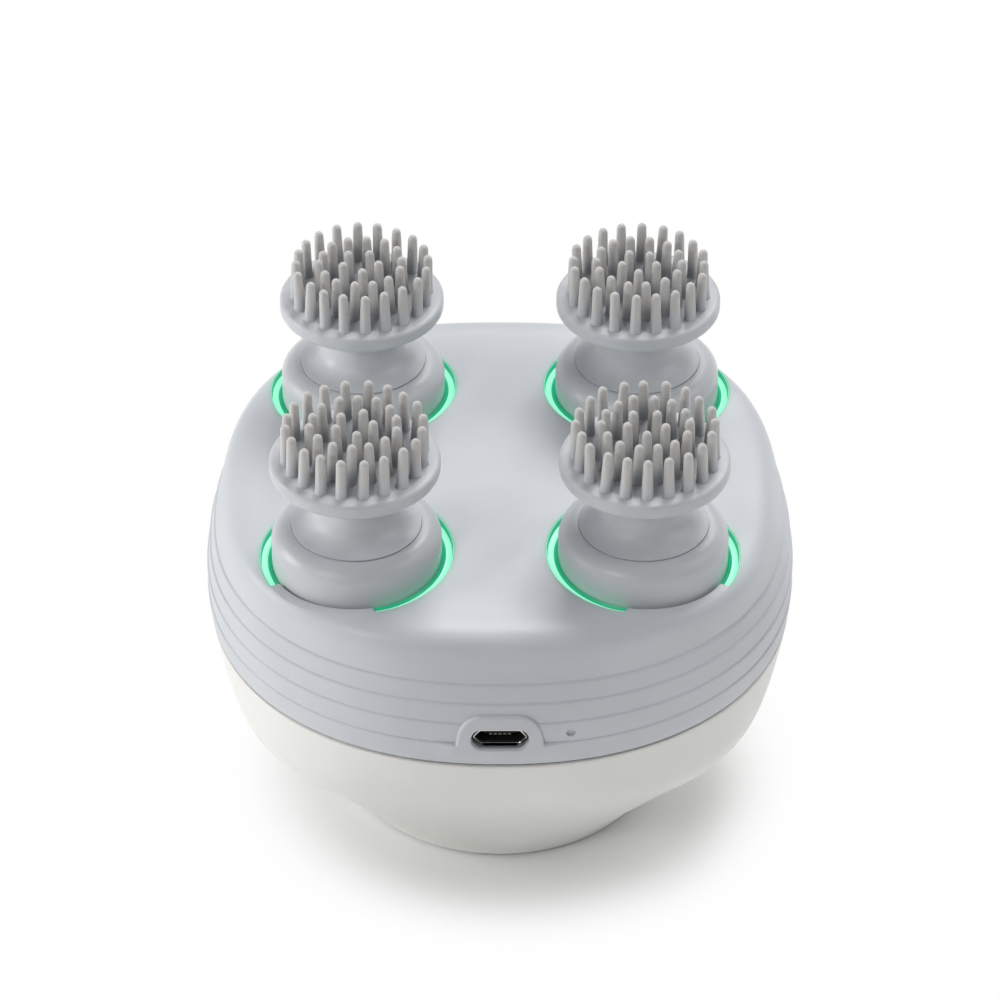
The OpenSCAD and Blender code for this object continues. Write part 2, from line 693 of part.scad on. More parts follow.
// half section of the silicone: flare on the pod, narrow neck, disc
neck_z = 63.0;
disc_under_z = 67.7;
function neck_section() = concat(
  [[core_r, pod_z[1]], [flare_r, pod_z[1]], [flare_r, pod_z[1] + 0.25]],
  [for (t = [0.12:0.11:1]) bez([[flare_r, pod_z[1] + 0.25], [7.4, pod_z[1] + 0.35],
    [neck_r, pod_z[1] + 1.3], [neck_r, neck_z]], t)],
  [for (t = [0.1:0.15:1]) bez([[neck_r, neck_z], [neck_r, neck_z + 2.4],
    [7.4, disc_under_z - 0.7], [disc_r - 0.9, disc_under_z]], t)],
  [[disc_r - 0.3, disc_under_z + 0.3], [disc_r, disc_under_z + 0.9], [disc_r, disc_top_z - 0.75],
   [disc_r - 0.2, disc_top_z - 0.25], [disc_r - 0.7, disc_top_z],
   [0, disc_top_z], [0, 69.0], [core_disc_r, 69.0], [core_disc_r, 68.0], [core_r, 68.0]]
);
module massage_head(i) {
  color(silicone_grey) translate([spindle_xy[i][0], spindle_xy[i][1], 0])
    rotate([0, 0, head_turn[i]]) union() {
      rotate_extrude() polygon(neck_section());
      for (ring = rings_of_bristles) for (k = [0:ring[1] - 1])
        rotate([0, 0, ring[2] + k * 360 / ring[1]]) translate([ring[0], 0, 0]) bristle();
    }
}

top_shell();
lower_shell();
shell_gasket();
foot_ring();
upper_plate();
lower_plate();
upper_bushes();
lower_bushes();
shaft_seals();
chassis_screws();
shell_screws();
base_screws();
gearbox_screws();
board_screws();
gearbox_case();
motor_can();
motor_endcap();
battery_cell();
battery_cradle();
control_board();
control_chips();
led_board();
status_leds();
charge_board();
socket_shell();
socket_tongue();
indicator_pipe();
switch_board();
switch_body();
power_leads();
signal_leads();
output_shaft();
sun_gear();
power_button();
switch_plunger();
for (i = [0:3]) {
  light_ring(i);
  spindle(i);
  planet_gear(i);
  pod(i);
  head_core(i);
  massage_head(i);
}
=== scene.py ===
"""Looks of an electric scalp massager: four turning heads on a rounded, rechargeable body."""

import logging  # noqa: E402
import math  # noqa: E402
from collections.abc import Sequence  # noqa: E402
from dataclasses import dataclass, field  # noqa: E402
from enum import Enum  # noqa: E402

import bmesh  # noqa: E402
import bpy  # noqa: E402
from mathutils import Matrix, Vector  # noqa: E402

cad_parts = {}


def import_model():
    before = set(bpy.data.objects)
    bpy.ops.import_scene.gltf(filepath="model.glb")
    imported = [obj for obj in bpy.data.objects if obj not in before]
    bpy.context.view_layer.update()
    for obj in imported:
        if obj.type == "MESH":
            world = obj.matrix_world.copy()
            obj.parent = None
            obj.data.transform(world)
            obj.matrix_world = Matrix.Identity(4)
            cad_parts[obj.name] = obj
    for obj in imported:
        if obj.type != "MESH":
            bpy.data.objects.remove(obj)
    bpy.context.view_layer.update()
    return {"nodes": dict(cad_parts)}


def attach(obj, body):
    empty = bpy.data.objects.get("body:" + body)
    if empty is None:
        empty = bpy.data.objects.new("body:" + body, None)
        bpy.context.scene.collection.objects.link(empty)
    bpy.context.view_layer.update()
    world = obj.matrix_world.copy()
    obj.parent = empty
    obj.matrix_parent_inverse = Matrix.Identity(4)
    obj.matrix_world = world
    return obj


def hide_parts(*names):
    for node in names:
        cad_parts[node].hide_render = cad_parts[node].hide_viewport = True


MM = 0.001
PER_MM = 1 / MM
EASED = {"interpolation_type": "SMOOTHSTEP"}
HALF_PITCH = 20.0  # each spindle's distance from the middle, across and along
UNLIT_MIDDLE = 66.0  # direction of each light arc's gap, in degrees, seen from the body's middle
UNLIT_EDGE = (0.76, 0.85)  # cosines from that direction, between which the arcs' painted glow dies away
PAINTED_GLOW_REACH = (13.7, 14.8)  # distances from a pod's axis, between which the painted glow falls off
DISC_TOP = 70.05  # height of the discs' tops, where the bristles start
COLOUR_SPREAD = (0.35, 0.65)  # span of a noise's values, between which patches of colour change
GLOSS_SPREAD = (0.3, 0.7)
log = logging.getLogger("massager")

Out = bpy.types.NodeSocket
Flat = tuple[float, float]
Point = tuple[float, float, float]
Ring = list[Point]


# ---------------------------------------------------------------- colour and node helpers


def linear(colour: str) -> tuple[float, float, float, float]:
    """Turns a written sRGB colour into the linear one that shaders take.

    Args:
        colour: six hex digits after a hash sign.

    Returns:
        Red, green, blue and alpha, linear.
    """

    def channel(text: str) -> float:
        """One channel's linear value."""
        value = int(text, 16) / 255
        return value / 12.92 if value <= 0.04045 else ((value + 0.055) / 1.055) ** 2.4

    return (channel(colour[1:3]), channel(colour[3:5]), channel(colour[5:7]), 1.0)


def add_node(
    tree: bpy.types.NodeTree, kind: str, settings: dict | None = None, links: dict | None = None
) -> bpy.types.Node:
    """Adds a node with its settings and links.

    Args:
        tree: the node tree that takes it.
        kind: Blender's name of the node's type.
        settings: values by property name, or by the name or number of an input.
        links: output sockets by the name or number of the input that they feed.

    Returns:
        The new node.
    """
    node = tree.nodes.new(kind)
    for key, value in (settings or {}).items():
        if isinstance(key, str) and hasattr(node, key):
            setattr(node, key, value)
        else:
            node.inputs[key].default_value = value
    for key, socket in (links or {}).items():
        tree.links.new(socket, node.inputs[key])
    return node


class Surface:
    """A material under construction: its tree, its Principled shader and its coordinates."""

    def __init__(self, name: str) -> None:
        """Starts a material.

        Args:
            name: of the material.
        """
        self.material = bpy.data.materials.new(name)
        self.material.use_nodes = True
        self.tree = self.material.node_tree
        self.tree.nodes.clear()
        self.shader = add_node(self.tree, "ShaderNodeBsdfPrincipled")
        self.place = add_node(self.tree, "ShaderNodeTexCoord").outputs["Object"]
        self.end = add_node(self.tree, "ShaderNodeOutputMaterial", links={0: self.shader.outputs[0]})

    def set(self, **values: float | tuple) -> None:
        """Sets the shader's own sockets; a name's underscores stand for spaces."""
        for name, value in values.items():
            self.shader.inputs[name.replace("_", " ")].default_value = value

    def share(self, *parts: tuple) -> Out:
        """Product of values that are each eased from one range onto another.

        Args:
            parts: a value, the low and high that it goes between, and what they become.

        Returns:
            The product.
        """
        whole = None
        for value, *ends in parts:
            settings = EASED | dict(enumerate(ends, 1))
            node = add_node(self.tree, "ShaderNodeMapRange", settings, {0: value})
            if whole:
                links = {0: whole, 1: node.outputs[0]}
                node = add_node(self.tree, "ShaderNodeMath", {"operation": "MULTIPLY"}, links)
            whole = node.outputs[0]
        return whole

    def from_spindle(self) -> tuple[Out, Out]:
        """Measures across from the nearest spindle's axis.

        Returns:
            The offset, as it is in the rear right quarter, and its length.
        """
        split = add_node(self.tree, "ShaderNodeSeparateXYZ", links={0: self.place})
        flat = {}
        for axis in (0, 1):
            size = add_node(
                self.tree, "ShaderNodeMath", {"operation": "ABSOLUTE"}, {0: split.outputs[axis]}
            )
            settings = {"operation": "SUBTRACT", 1: HALF_PITCH * MM}
            off = add_node(self.tree, "ShaderNodeMath", settings, {0: size.outputs[0]})
            flat[axis] = off.outputs[0]
        away = add_node(self.tree, "ShaderNodeCombineXYZ", links=flat).outputs[0]
        length = add_node(self.tree, "ShaderNodeVectorMath", {"operation": "LENGTH"}, {0: away})
        return away, length.outputs["Value"]

    def tint(self, amount: Out, low: str, high: str, socket: str = "Base Color") -> None:
        """Colours the surface between two colours.

        Args:
            amount: from 0 for the low colour to 1 for the high one.
            low: sRGB hex.
            high: sRGB hex.
            socket: the shader's input that takes the colour.
        """
        settings = {"data_type": "RGBA", 6: linear(low), 7: linear(high)}
        mix = add_node(self.tree, "ShaderNodeMix", settings, {0: amount})
        self.tree.links.new(mix.outputs[2], self.shader.inputs[socket])

    def stain(self, amount: Out, colour: str, most: float) -> None:
        """Mixes a further colour into the base colour.

        Args:
            amount: value from 0 to 1.
            colour: sRGB hex.
            most: share of the colour where the amount is 1.
        """
        base = self.shader.inputs["Base Color"]
        links = {0: self.share((amount, 0, 1, 0, most)), 6: base.links[0].from_socket}
        settings = {"data_type": "RGBA", 7: linear(colour)}
        mix = add_node(self.tree, "ShaderNodeMix", settings, links)
        self.tree.links.new(mix.outputs[2], base)

    def mottle(self, low: str, high: str, size_mm: float) -> None:
        """Colours the surface in soft patches.

        Args:
            low: sRGB hex of the one half.
            high: sRGB hex of the other.
            size_mm: real size of a patch.
        """
        settings = {"Scale": PER_MM / size_mm, "Detail": 3}
        patches = add_node(self.tree, "ShaderNodeTexNoise", settings, {0: self.place})
        self.tint(self.share((patches.outputs[0], *COLOUR_SPREAD, 0, 1)), low, high)

    def gloss(self, low: float, high: float, size_mm: float, detail: float) -> None:
        """Varies the roughness in soft patches.

        Args:
            low: roughness where it is least.
            high: roughness where it is most.
            size_mm: real size of a patch.
            detail: octaves of finer patches.
        """
        settings = {"Scale": PER_MM / size_mm, "Detail": detail}
        patches = add_node(self.tree, "ShaderNodeTexNoise", settings, {0: self.place})
        amount = self.share((patches.outputs[0], *GLOSS_SPREAD, low, high))
        self.tree.links.new(amount, self.shader.inputs["Roughness"])

    def relief(self, height: Out, depth_mm: float) -> None:
        """Raises the surface, over the relief that it already has.

        Args:
            height: value from 0 to 1.
            depth_mm: real depth of a height of 1.
        """
        normal = self.shader.inputs["Normal"]
        links = {"Height": height}
        if normal.is_linked:
            links["Normal"] = normal.links[0].from_socket
        settings = {"Strength": 1.0, "Distance": depth_mm * MM}
        bump = add_node(self.tree, "ShaderNodeBump", settings, links)
        self.tree.links.new(bump.outputs[0], normal)

    def grain(self, size_mm: float, detail: float, depth_mm: float) -> None:
        """Raises the surface in fine grains.

        Args:
            size_mm: real size of a grain.
            detail: octaves of finer grains.
            depth_mm: real depth between grains.
        """
        settings = {"Scale": PER_MM / size_mm, "Detail": detail}
        grains = add_node(self.tree, "ShaderNodeTexNoise", settings, {0: self.place})
        self.relief(grains.outputs[0], depth_mm)


# ---------------------------------------------------------------- finishes


@dataclass(frozen=True)
class MouldedPlastic:
    """Injection-moulded plastic. Its spark-eroded tool leaves a fine, even grain that softens gloss."""

    name: str
    low: str
    high: str
    roughness: float = 0.42
    grain_mm: float = 0.35  # real grain is near 0.1 mm; drawn coarser so that it shows
    depth_mm: float = 0.004
    edge_mm: float = 0.0
    glow: str = ""  # painted glow: colour of the light arcs' light, painted on the plastic close to them
    glow_most: float = 0.25
    patch_mm: float = 18.0
    gloss_mm: float = 6.0

    def glow_share(self, surface: Surface) -> Out:
        """Share of the arcs' painted glow: it falls off away from a slot, and is nil at its unlit side.

        Args:
            surface: the material under construction.

        Returns:
            A value from 0 to 1.
        """
        away, reach = surface.from_spindle()
        way = add_node(surface.tree, "ShaderNodeVectorMath", {"operation": "NORMALIZE"}, {0: away})
        unlit = math.radians(UNLIT_MIDDLE)
        settings = {"operation": "DOT_PRODUCT", 1: (math.cos(unlit), math.sin(unlit), 0)}
        facing = add_node(surface.tree, "ShaderNodeVectorMath", settings, {0: way.outputs[0]})
        near, far = PAINTED_GLOW_REACH
        return surface.share(
            (reach, near * MM, far * MM, 1, 0), (facing.outputs["Value"], *UNLIT_EDGE, 1, 0)
        )

    def build(self) -> bpy.types.Material:
        """Makes the material.

        Returns:
            The material.
        """
        s = Surface(self.name)
        s.set(IOR=1.5)
        s.mottle(self.low, self.high, self.patch_mm)
        s.gloss(self.roughness - 0.03, self.roughness + 0.04, self.gloss_mm, 3)
        if self.edge_mm:
            edge = add_node(s.tree, "ShaderNodeBevel", {"samples": 4, "Radius": self.edge_mm * MM})
            s.tree.links.new(edge.outputs[0], s.shader.inputs["Normal"])
        s.grain(self.grain_mm, 1, self.depth_mm)
        # Painted glow: the arcs' mint light, mixed into the base colour beside the slots.
        if self.glow:
            s.stain(self.glow_share(s), self.glow, self.glow_most)
        return s.material


@dataclass(frozen=True)
class SoftSilicone:
    """Liquid silicone rubber: matt, a little translucent, with a faint bloom of dust on it, painted light in
    the bristles' thin upper part and painted shade at their feet.
    """

    name: str
    low: str
    high: str
    thin: str  # painted light: colour of the bristles' upper part, which is thin and lets light through
    deep: str  # painted shade: colour at the feet of the bristles, where little light comes in
    deep_most: float = 0.6
    roughness: float = 0.38
    grain_mm: float = 0.5
    depth_mm: float = 0.006
    patch_mm: float = 4.0
    gloss_mm: float = 2.5
    glow_mm: float = 0.6  # how far light runs under the skin
    fade_mm: float = 4.0  # height over the disc at which the painted light of the thin upper part is full
    crowd_mm: Flat = (8.8, 10.4)  # distances from the axis, between which the painted shade ends
    skin_mm: Flat = (0.35, 0.1)  # depths under the disc's top, between which it starts

    def build(self) -> bpy.types.Material:
        """Makes the material.

        Returns:
            The material.
        """
        s = Surface(self.name)
        s.set(IOR=1.41, Subsurface_Weight=0.08, Subsurface_Radius=(1.0, 0.95, 0.9))
        s.set(Subsurface_Scale=self.glow_mm * MM, Sheen_Weight=0.05, Sheen_Roughness=0.4)
        s.mottle(self.low, self.high, self.patch_mm)
        z = add_node(s.tree, "ShaderNodeSeparateXYZ", links={0: s.place}).outputs[2]
        start, end = DISC_TOP * MM, (DISC_TOP + self.fade_mm) * MM
        # Painted light: lighter and warmer up the bristles, full towards their tips.
        s.stain(s.share((z, start, end, 0, 1)), self.thin, 1.0)
        # Painted shade: darker on the disc's top between the inner bristles and up their feet.
        _, reach = s.from_spindle()
        inner, outer = self.crowd_mm
        below, above = self.skin_mm
        share = s.share(
            (reach, inner * MM, outer * MM, 1, 0),
            (z, (DISC_TOP - below) * MM, (DISC_TOP - above) * MM, 0, 1),
            (z, start, end, 1, 0),
        )
        s.stain(share, self.deep, self.deep_most)
        s.gloss(self.roughness - 0.05, self.roughness + 0.06, self.gloss_mm, 2)
        s.grain(self.grain_mm, 2, self.depth_mm)
        return s.material


@dataclass(frozen=True)
class LitDiffuser:
    """Frosted acrylic light guide: an even glow on its face, with painted shade of deeper green down its
    sides.
    """

    name: str
    face: str
    # Emission colour of the sides, darker green as painted shade.
    side: str
    unlit: str = "#1E4A3C"
    haze_mm: float = 1.5
    haze: Flat = (0.94, 1.0)  # brightness of its dimmer and brighter patches
    facing: Flat = (0.8, 0.985)  # upward share of the normal, between which the sides' painted shade turns to the face's colour

    def build(self) -> bpy.types.Material:
        """Makes the material.

        Returns:
            The material.
        """
        s = Surface(self.name)
        s.set(Roughness=0.35, IOR=1.49, Base_Color=linear(self.unlit), Emission_Strength=1.0)
        # Painted shade: the emission turns darker green where a face turns away from up.
        normal = add_node(s.tree, "ShaderNodeNewGeometry").outputs["True Normal"]
        up = add_node(s.tree, "ShaderNodeSeparateXYZ", links={0: normal}).outputs[2]
        settings = {"Scale": PER_MM / self.haze_mm, "Detail": 2}
        patches = add_node(s.tree, "ShaderNodeTexNoise", settings, {0: s.place}).outputs[0]
        amount = s.share((up, *self.facing, 0, 1), (patches, *GLOSS_SPREAD, *self.haze))
        s.tint(amount, self.side, self.face, "Emission Color")
        return s.material


@dataclass(frozen=True)
class WorkedMetal:
    """Metal with fine tool marks, which draw its highlights out along them."""

    name: str
    low: str
    high: str
    roughness: float = 0.28
    mark_mm: float = 0.12
    depth_mm: float = 0.003
    patch_mm: float = 3.0
    along: Point = (1.0, 1.0, 0.06)  # the marks are drawn out upwards

    def build(self) -> bpy.types.Material:
        """Makes the material.

        Returns:
            The material.
        """
        s = Surface(self.name)
        s.set(Metallic=1.0)
        s.mottle(self.low, self.high, self.patch_mm)
        s.place = add_node(
            s.tree, "ShaderNodeMapping", {"Scale": self.along}, {0: s.place}
        ).outputs[0]
        s.gloss(self.roughness - 0.06, self.roughness + 0.08, self.mark_mm, 2)
        s.grain(self.mark_mm, 2, self.depth_mm)
        return s.material


@dataclass(frozen=True)
class CircuitLaminate:
    """Glass-epoxy board under solder mask: glossy, with weave and copper tracks faintly proud."""

    name: str
    low: str
    high: str
    track_mm: float = 3.2
    track_depth_mm: float = 0.035
    weave_mm: float = 0.4
    weave_depth_mm: float = 0.004

    def build(self) -> bpy.types.Material:
        """Makes the material.

        Returns:
            The material.
        """
        s = Surface(self.name)
        s.set(Roughness=0.3, IOR=1.55)
        settings = {"Scale": PER_MM / self.track_mm, "Mortar Size": 0.06, "Mortar Smooth": 0.3}
        tracks = add_node(s.tree, "ShaderNodeTexBrick", settings, {0: s.place}).outputs["Fac"]
        s.tint(tracks, self.low, self.high)
        s.relief(tracks, self.track_depth_mm)
        s.grain(self.weave_mm, 1, self.weave_depth_mm)
        return s.material


Finish = MouldedPlastic | SoftSilicone | LitDiffuser | WorkedMetal | CircuitLaminate

# A satin skin that spreads highlights wide; the arcs' mint light is painted on it beside them.
SHELL_GREY = MouldedPlastic("abs_moulded_pale_grey", "#CBCED2", "#CFD2D6", edge_mm=0.16, glow="#7FD8B8")
# The same plastic from a finer tool: a little glossier, so the pods' rounds catch the lamps.
POD_GREY = MouldedPlastic("abs_moulded_pod_grey", "#C6C8CB", "#CACCCF", roughness=0.34)
# Warm off-white with a smooth sheen, which sets the bowl apart from the cool grey above it.
IVORY = MouldedPlastic("abs_moulded_ivory", "#ECEBE6", "#EFEEEA", roughness=0.36, edge_mm=0.2)
# Soft and matt, with painted light making the thin bristles warmer and lighter, and painted shade dark
# between their feet.
SILICONE = SoftSilicone("silicone_moulded_grey", "#C6C8CB", "#CBCDD0", "#CDCBC8", "#6B6D71")
# Bright mint over the face of each arc, deep green painted shade down its sides.
LIGHT = LitDiffuser("acrylic_light_guide_mint", "#94F7CF", "#179A6C")
# Near black with a coarse grain: reads as a plain inner moulding.
DARK_PLASTIC = MouldedPlastic("nylon_moulded_black", "#1E1F22", "#26272A", roughness=0.5, depth_mm=0.008)
# Dead black without gloss, so that the opening of the socket looks deep; as the socket's lining it is partly
# painted shade.
SOCKET_PLASTIC = MouldedPlastic("lcp_moulded_black", "#040405", "#070708", roughness=0.85)
# Milky and slightly waxy, as uncoloured gears are.
WHITE_PLASTIC = MouldedPlastic("pom_moulded_natural", "#E4E2D6", "#EBE9DE", roughness=0.38)
# Dull charcoal with a strong grain, which takes all shine off the foot.
RUBBER = MouldedPlastic("tpe_moulded_charcoal", "#2B2C2E", "#343537", roughness=0.7, depth_mm=0.012)
# A dark matt line between the two shells.
GASKET = MouldedPlastic("silicone_gasket_dark", "#3A3B3D", "#444547", roughness=0.65)
# A glossy grey dot in the indicator's hole.
SMOKED = MouldedPlastic("polycarbonate_smoked", "#3B3E42", "#4A4D52", roughness=0.2)
# Cool bright metal with fine marks along it.
STEEL = WorkedMetal("steel_bright_zinc", "#B9BCC0", "#D2D4D6")
# A warmer, sharper mirror than the zinc.
NICKEL = WorkedMetal("steel_nickel_plated", "#C9C8C4", "#E3E2DE", roughness=0.18)
# Brown gold with visible pores, and little shine.
BRONZE = WorkedMetal("bronze_sintered", "#A9763C", "#C08D4E", roughness=0.42, mark_mm=0.3)
# Dull grey tin that shows as small pale tips in the dark socket.
TINNED = WorkedMetal("copper_tin_plated", "#77756F", "#8D8B85", roughness=0.5)
# Glossy green with lighter tracks.
BOARD = CircuitLaminate("fr4_solder_mask_green", "#0F4A31", "#1B6B47")
# Shiny thin film, drawn tight round the cell.
CELL_WRAP = MouldedPlastic("pvc_shrink_film_blue", "#2E66A8", "#3A74B8", roughness=0.25)
# Smooth extruded sheaths, half glossy, which tell the power leads from the signal leads.
RED_LEAD = MouldedPlastic("pvc_sheath_red", "#A8261F", "#B8332A", roughness=0.45)
GREY_LEAD = MouldedPlastic("pvc_sheath_grey", "#BFC0C1", "#CBCCCD", roughness=0.45)


# ---------------------------------------------------------------- the body's form


@dataclass(frozen=True)
class Form:
    """Outer form of the body: squircle rings, whose half-width and exponent follow the height. All in mm."""

    body_half: float = 42.4
    seam_z: float = 32.95
    top_z: float = 54.3
    foot_r: float = 23.2
    knee_z: float = 22.9
    wall: float = 1.8
    joint_gap: float = 0.4
    wide_z: float = 38.2
    band_top: float = 46.6
    curve_up: float = 0.0185
    curve_down: float = 0.0135
    shoulder_a: float = 34.0
    cap_fall: float = 1.0
    dome_pull: Flat = (5.3, 5.9)  # how far the dome's curve holds on to the band, and to the top
    foot_edge: float = 1.4
    foot_pull: Flat = (6, 11.4)  # the bowl's second control point: out from the foot, and up
    belly_pull: Flat = (2.5, 12.65)  # its third: in from the widest place, and down from the joint
    band_square: Flat = (2.18, 0.10)  # exponent at the low end, and what it gains over the band
    dome_square: Flat = (2.28, 0.42)
    bowl_square: Flat = (0.18, 0.33)  # what the exponent gains up the bowl, and at mid height
    knee_square: Flat = (0.38, 4.7)  # what it gains at the knee, and over which height
    groove_zs: tuple[float, ...] = (37.0, 40.5, 43.7, 46.55)
    tier: float = 0.15
    groove: tuple[Flat, ...] = (  # height over the groove's middle, depth
        (-0.30, 0.0),
        (-0.20, 0.01),
        (-0.12, 0.05),
        (-0.05, 0.16),
        (0.0, 0.22),
        (0.05, 0.23),
        (0.12, 0.21),
        (0.22, 0.18),
        (0.38, 0.16),
        (0.60, 0.15),
    )
    segments: int = 288

    @property
    def top_edge(self) -> float:
        """Height of the top shell's lower edge."""
        return self.seam_z + self.joint_gap / 2

    @property
    def low_edge(self) -> float:
        """Height of the lower shell's rim."""
        return self.seam_z - self.joint_gap / 2

    def band_a(self, z: float) -> float:
        """Half-width of the grooved band at height z."""
        curve = self.curve_up if z > self.wide_z else self.curve_down
        return self.body_half - curve * (z - self.wide_z) ** 2

    def inset(self, z: float) -> float:
        """How far the grooved band stands back: each tier leans out to its top edge.

        Args:
            z: height.

        Returns:
            The distance.
        """
        depth = 0.0
        for g, above in zip(self.groove_zs, (*self.groove_zs[1:], self.groove_zs[-1] + 5)):
            first, last = self.groove[0][0], self.groove[-1][0]
            if g + last <= z < above + first:
                depth = self.tier * (above + first - z) / (above + first - g - last)
            for (low, d), (high, e) in zip(self.groove, self.groove[1:]):
                if g + low <= z < g + high:
                    depth = d + (e - d) * (z - g - low) / (high - low)
        return depth

    def band_n(self, z: float) -> float:
        """Exponent of the band's outline at height z."""
        start, gain = self.band_square
        return start + gain * (z - self.seam_z) / (self.band_top - self.seam_z)

    def dome_n(self, z: float) -> float:
        """Exponent of the dome's outline at height z."""
        start, gain = self.dome_square
        return start + gain * (z - self.band_top) / (self.top_z - self.band_top)

    def bowl_n(self, z: float) -> float:
        """Exponent of the bowl's outline: its corners are squarest at the knee.

        Args:
            z: height.

        Returns:
            The exponent.
        """
        share = z / self.seam_z
        (rise, belly), (corner_gain, span) = self.bowl_square, self.knee_square
        knee = math.exp(-(((z - self.knee_z) / span) ** 2))
        return 2 + rise * share + belly * math.sin(math.pi * share) + corner_gain * knee

    @property
    def dome_curve(self) -> tuple[Flat, ...]:
        """Control points of the curve from the band up to the flat top."""
        slope = 2 * self.curve_up * (self.band_top - self.wide_z)
        a = self.band_a(self.band_top)
        z = self.top_z - self.cap_fall
        (rise, out), lift = self.dome_pull, 0.2
        return (
            (a, self.band_top),
            (a - slope * rise, self.band_top + rise),
            (self.shoulder_a + out, z + lift),
            (self.shoulder_a, z),
        )

    @property
    def bowl_curve(self) -> tuple[Flat, ...]:
        """Control points of the curve from the foot up to the rim."""
        out, up = self.foot_pull
        inward, down = self.belly_pull
        return (
            (self.foot_r, self.foot_edge),
            (self.foot_r + out, up),
            (self.body_half - inward, self.seam_z - down),
            (self.band_a(self.low_edge), self.low_edge),
        )

    def cap_z(self, a: float) -> float:
        """Height of the flat top where its outline's half-width is a."""
        return self.top_z - (a / self.shoulder_a) ** 2

    def surface_z(self, x: float, y: float) -> float:
        """Height of the top shell's outer surface over a point, found by halving.

        Args:
            x: place across.
            y: place along.

        Returns:
            The height.
        """

        def size(n: float) -> float:
            """Half-width of the outline of exponent n that passes through the point."""
            return (abs(x) ** n + abs(y) ** n) ** (1 / n)

        n = self.dome_n(self.top_z - self.cap_fall)
        if size(n) <= self.shoulder_a:
            return self.cap_z(size(self.dome_n(self.top_z)))
        low, high = 0.0, 1.0
        for _ in range(30):
            t = (low + high) / 2
            a, z = bezier(self.dome_curve, t)
            if size(self.dome_n(z)) > a:
                high = t
            else:
                low = t
        return bezier(self.dome_curve, low)[1]

    def ring(self, a: float, z: float, n: float) -> Ring:
        """Points of an outline.

        Args:
            a: its half-width.
            z: its height.
            n: its exponent.

        Returns:
            The points, anticlockwise.
        """
        points = []
        for i in range(self.segments):
            t = 2 * math.pi * i / self.segments
            c, s = math.cos(t), math.sin(t)
            r = a / (abs(c) ** n + abs(s) ** n) ** (1 / n)
            points.append((r * c, r * s, z))
        return points


def bezier(p: Sequence[Flat], t: float, inward: float = 0.0) -> Flat:
    """Point of a cubic curve, moved to its left by a distance.

    Args:
        p: four control points.
        t: place along the curve, from 0 to 1.
        inward: how far to its left the point moves.

    Returns:
        The point.
    """
    w = ((1 - t) ** 3, 3 * (1 - t) ** 2 * t, 3 * (1 - t) * t * t, t**3)
    x, z = (sum(w[i] * p[i][k] for i in range(4)) for k in (0, 1))
    if inward:
        v = (3 * (1 - t) ** 2, 6 * (1 - t) * t, 3 * t * t)
        dx, dz = (sum(v[i] * (p[i + 1][k] - p[i][k]) for i in range(3)) for k in (0, 1))
        size = math.hypot(dx, dz)
        x, z = x - inward * dz / size, z + inward * dx / size
    return x, z


def steps(low: float, high: float, count: int) -> list[float]:
    """Values spread evenly from low to high, both included."""
    return [low + (high - low) * i / (count - 1) for i in range(count)]


def soft(share: float) -> float:
    """Smooth step from 0 to 1 over a share from 0 to 1."""
    share = min(1.0, max(0.0, share))
    return share * share * (3 - 2 * share)


def around(centre: Flat, radius: float, degrees: float) -> Flat:
    """Point at a distance from a centre, in a direction in degrees."""
    turn = math.radians(degrees)
    return (centre[0] + radius * math.cos(turn), centre[1] + radius * math.sin(turn))


def corner(centre: Flat, radius: float, start: float, end: float, count: int = 5) -> list[Flat]:
    """Points along a quarter round, by its centre, radius and two angles in degrees."""
    return [around(centre, radius, a) for a in steps(start, end, count)]


# ---------------------------------------------------------------- meshes


class Draft:
    """Vertices and faces of a piece being drawn, in millimetres."""

    def __init__(self) -> None:
        """Starts with nothing drawn."""
        self.points: list[Point] = []
        self.faces: list[tuple[int, ...]] = []

    def skin(self, rings: Sequence[Ring], looped: bool = False, capped: bool = False) -> "Draft":
        """Adds a skin over a row of rings of equal length; a ring of one point is a pole.

        Args:
            rings: the rings, anticlockwise seen from the end of the row.
            looped: joins the last ring to the first.
            capped: closes both ends with a face.

        Returns:
            The draft itself.
        """
        starts = []
        for ring in rings:
            starts.append(len(self.points))
            self.points.extend(ring)
        pairs = list(zip(range(len(rings) - 1), range(1, len(rings))))
        if looped:
            pairs.append((len(rings) - 1, 0))
        for a, b in pairs:
            n, m = len(rings[a]), len(rings[b])
            for i in range(max(n, m)):
                k = (i + 1) % max(n, m)
                low = [starts[a] + i, starts[a] + k] if n > 1 else [starts[a]]
                high = [starts[b] + k, starts[b] + i] if m > 1 else [starts[b]]
                self.faces.append(tuple(low + high))
        if capped:
            self.faces.append(tuple(starts[0] + i for i in reversed(range(len(rings[0])))))
            self.faces.append(tuple(starts[-1] + i for i in range(len(rings[-1]))))
        return self

    def lathe(self, profile: Sequence[Flat], segments: int, centre: Flat = (0, 0)) -> "Draft":
        """Adds a turned skin.

        Args:
            profile: radius and height of its corners, which go up on the outside.
            segments: faces around it.
            centre: where its axis stands.

        Returns:
            The draft itself.
        """
        rings: list[Ring] = []
        for r, z in profile:
            count = segments if r else 1
            rings.append([(*around(centre, r, 360 * i / segments), z) for i in range(count)])
        return self.skin(rings, looped=bool(profile[0][0] and profile[-1][0]))

    def mesh(self, name: str) -> bpy.types.Mesh:
        """Turns the draft into a mesh in metres.

        Args:
            name: of the mesh.

        Returns:
            The mesh.
        """
        mesh = bpy.data.meshes.new(name)
        mesh.from_pydata([(x * MM, y * MM, z * MM) for x, y, z in self.points], [], self.faces)
        mesh.validate()
        return mesh


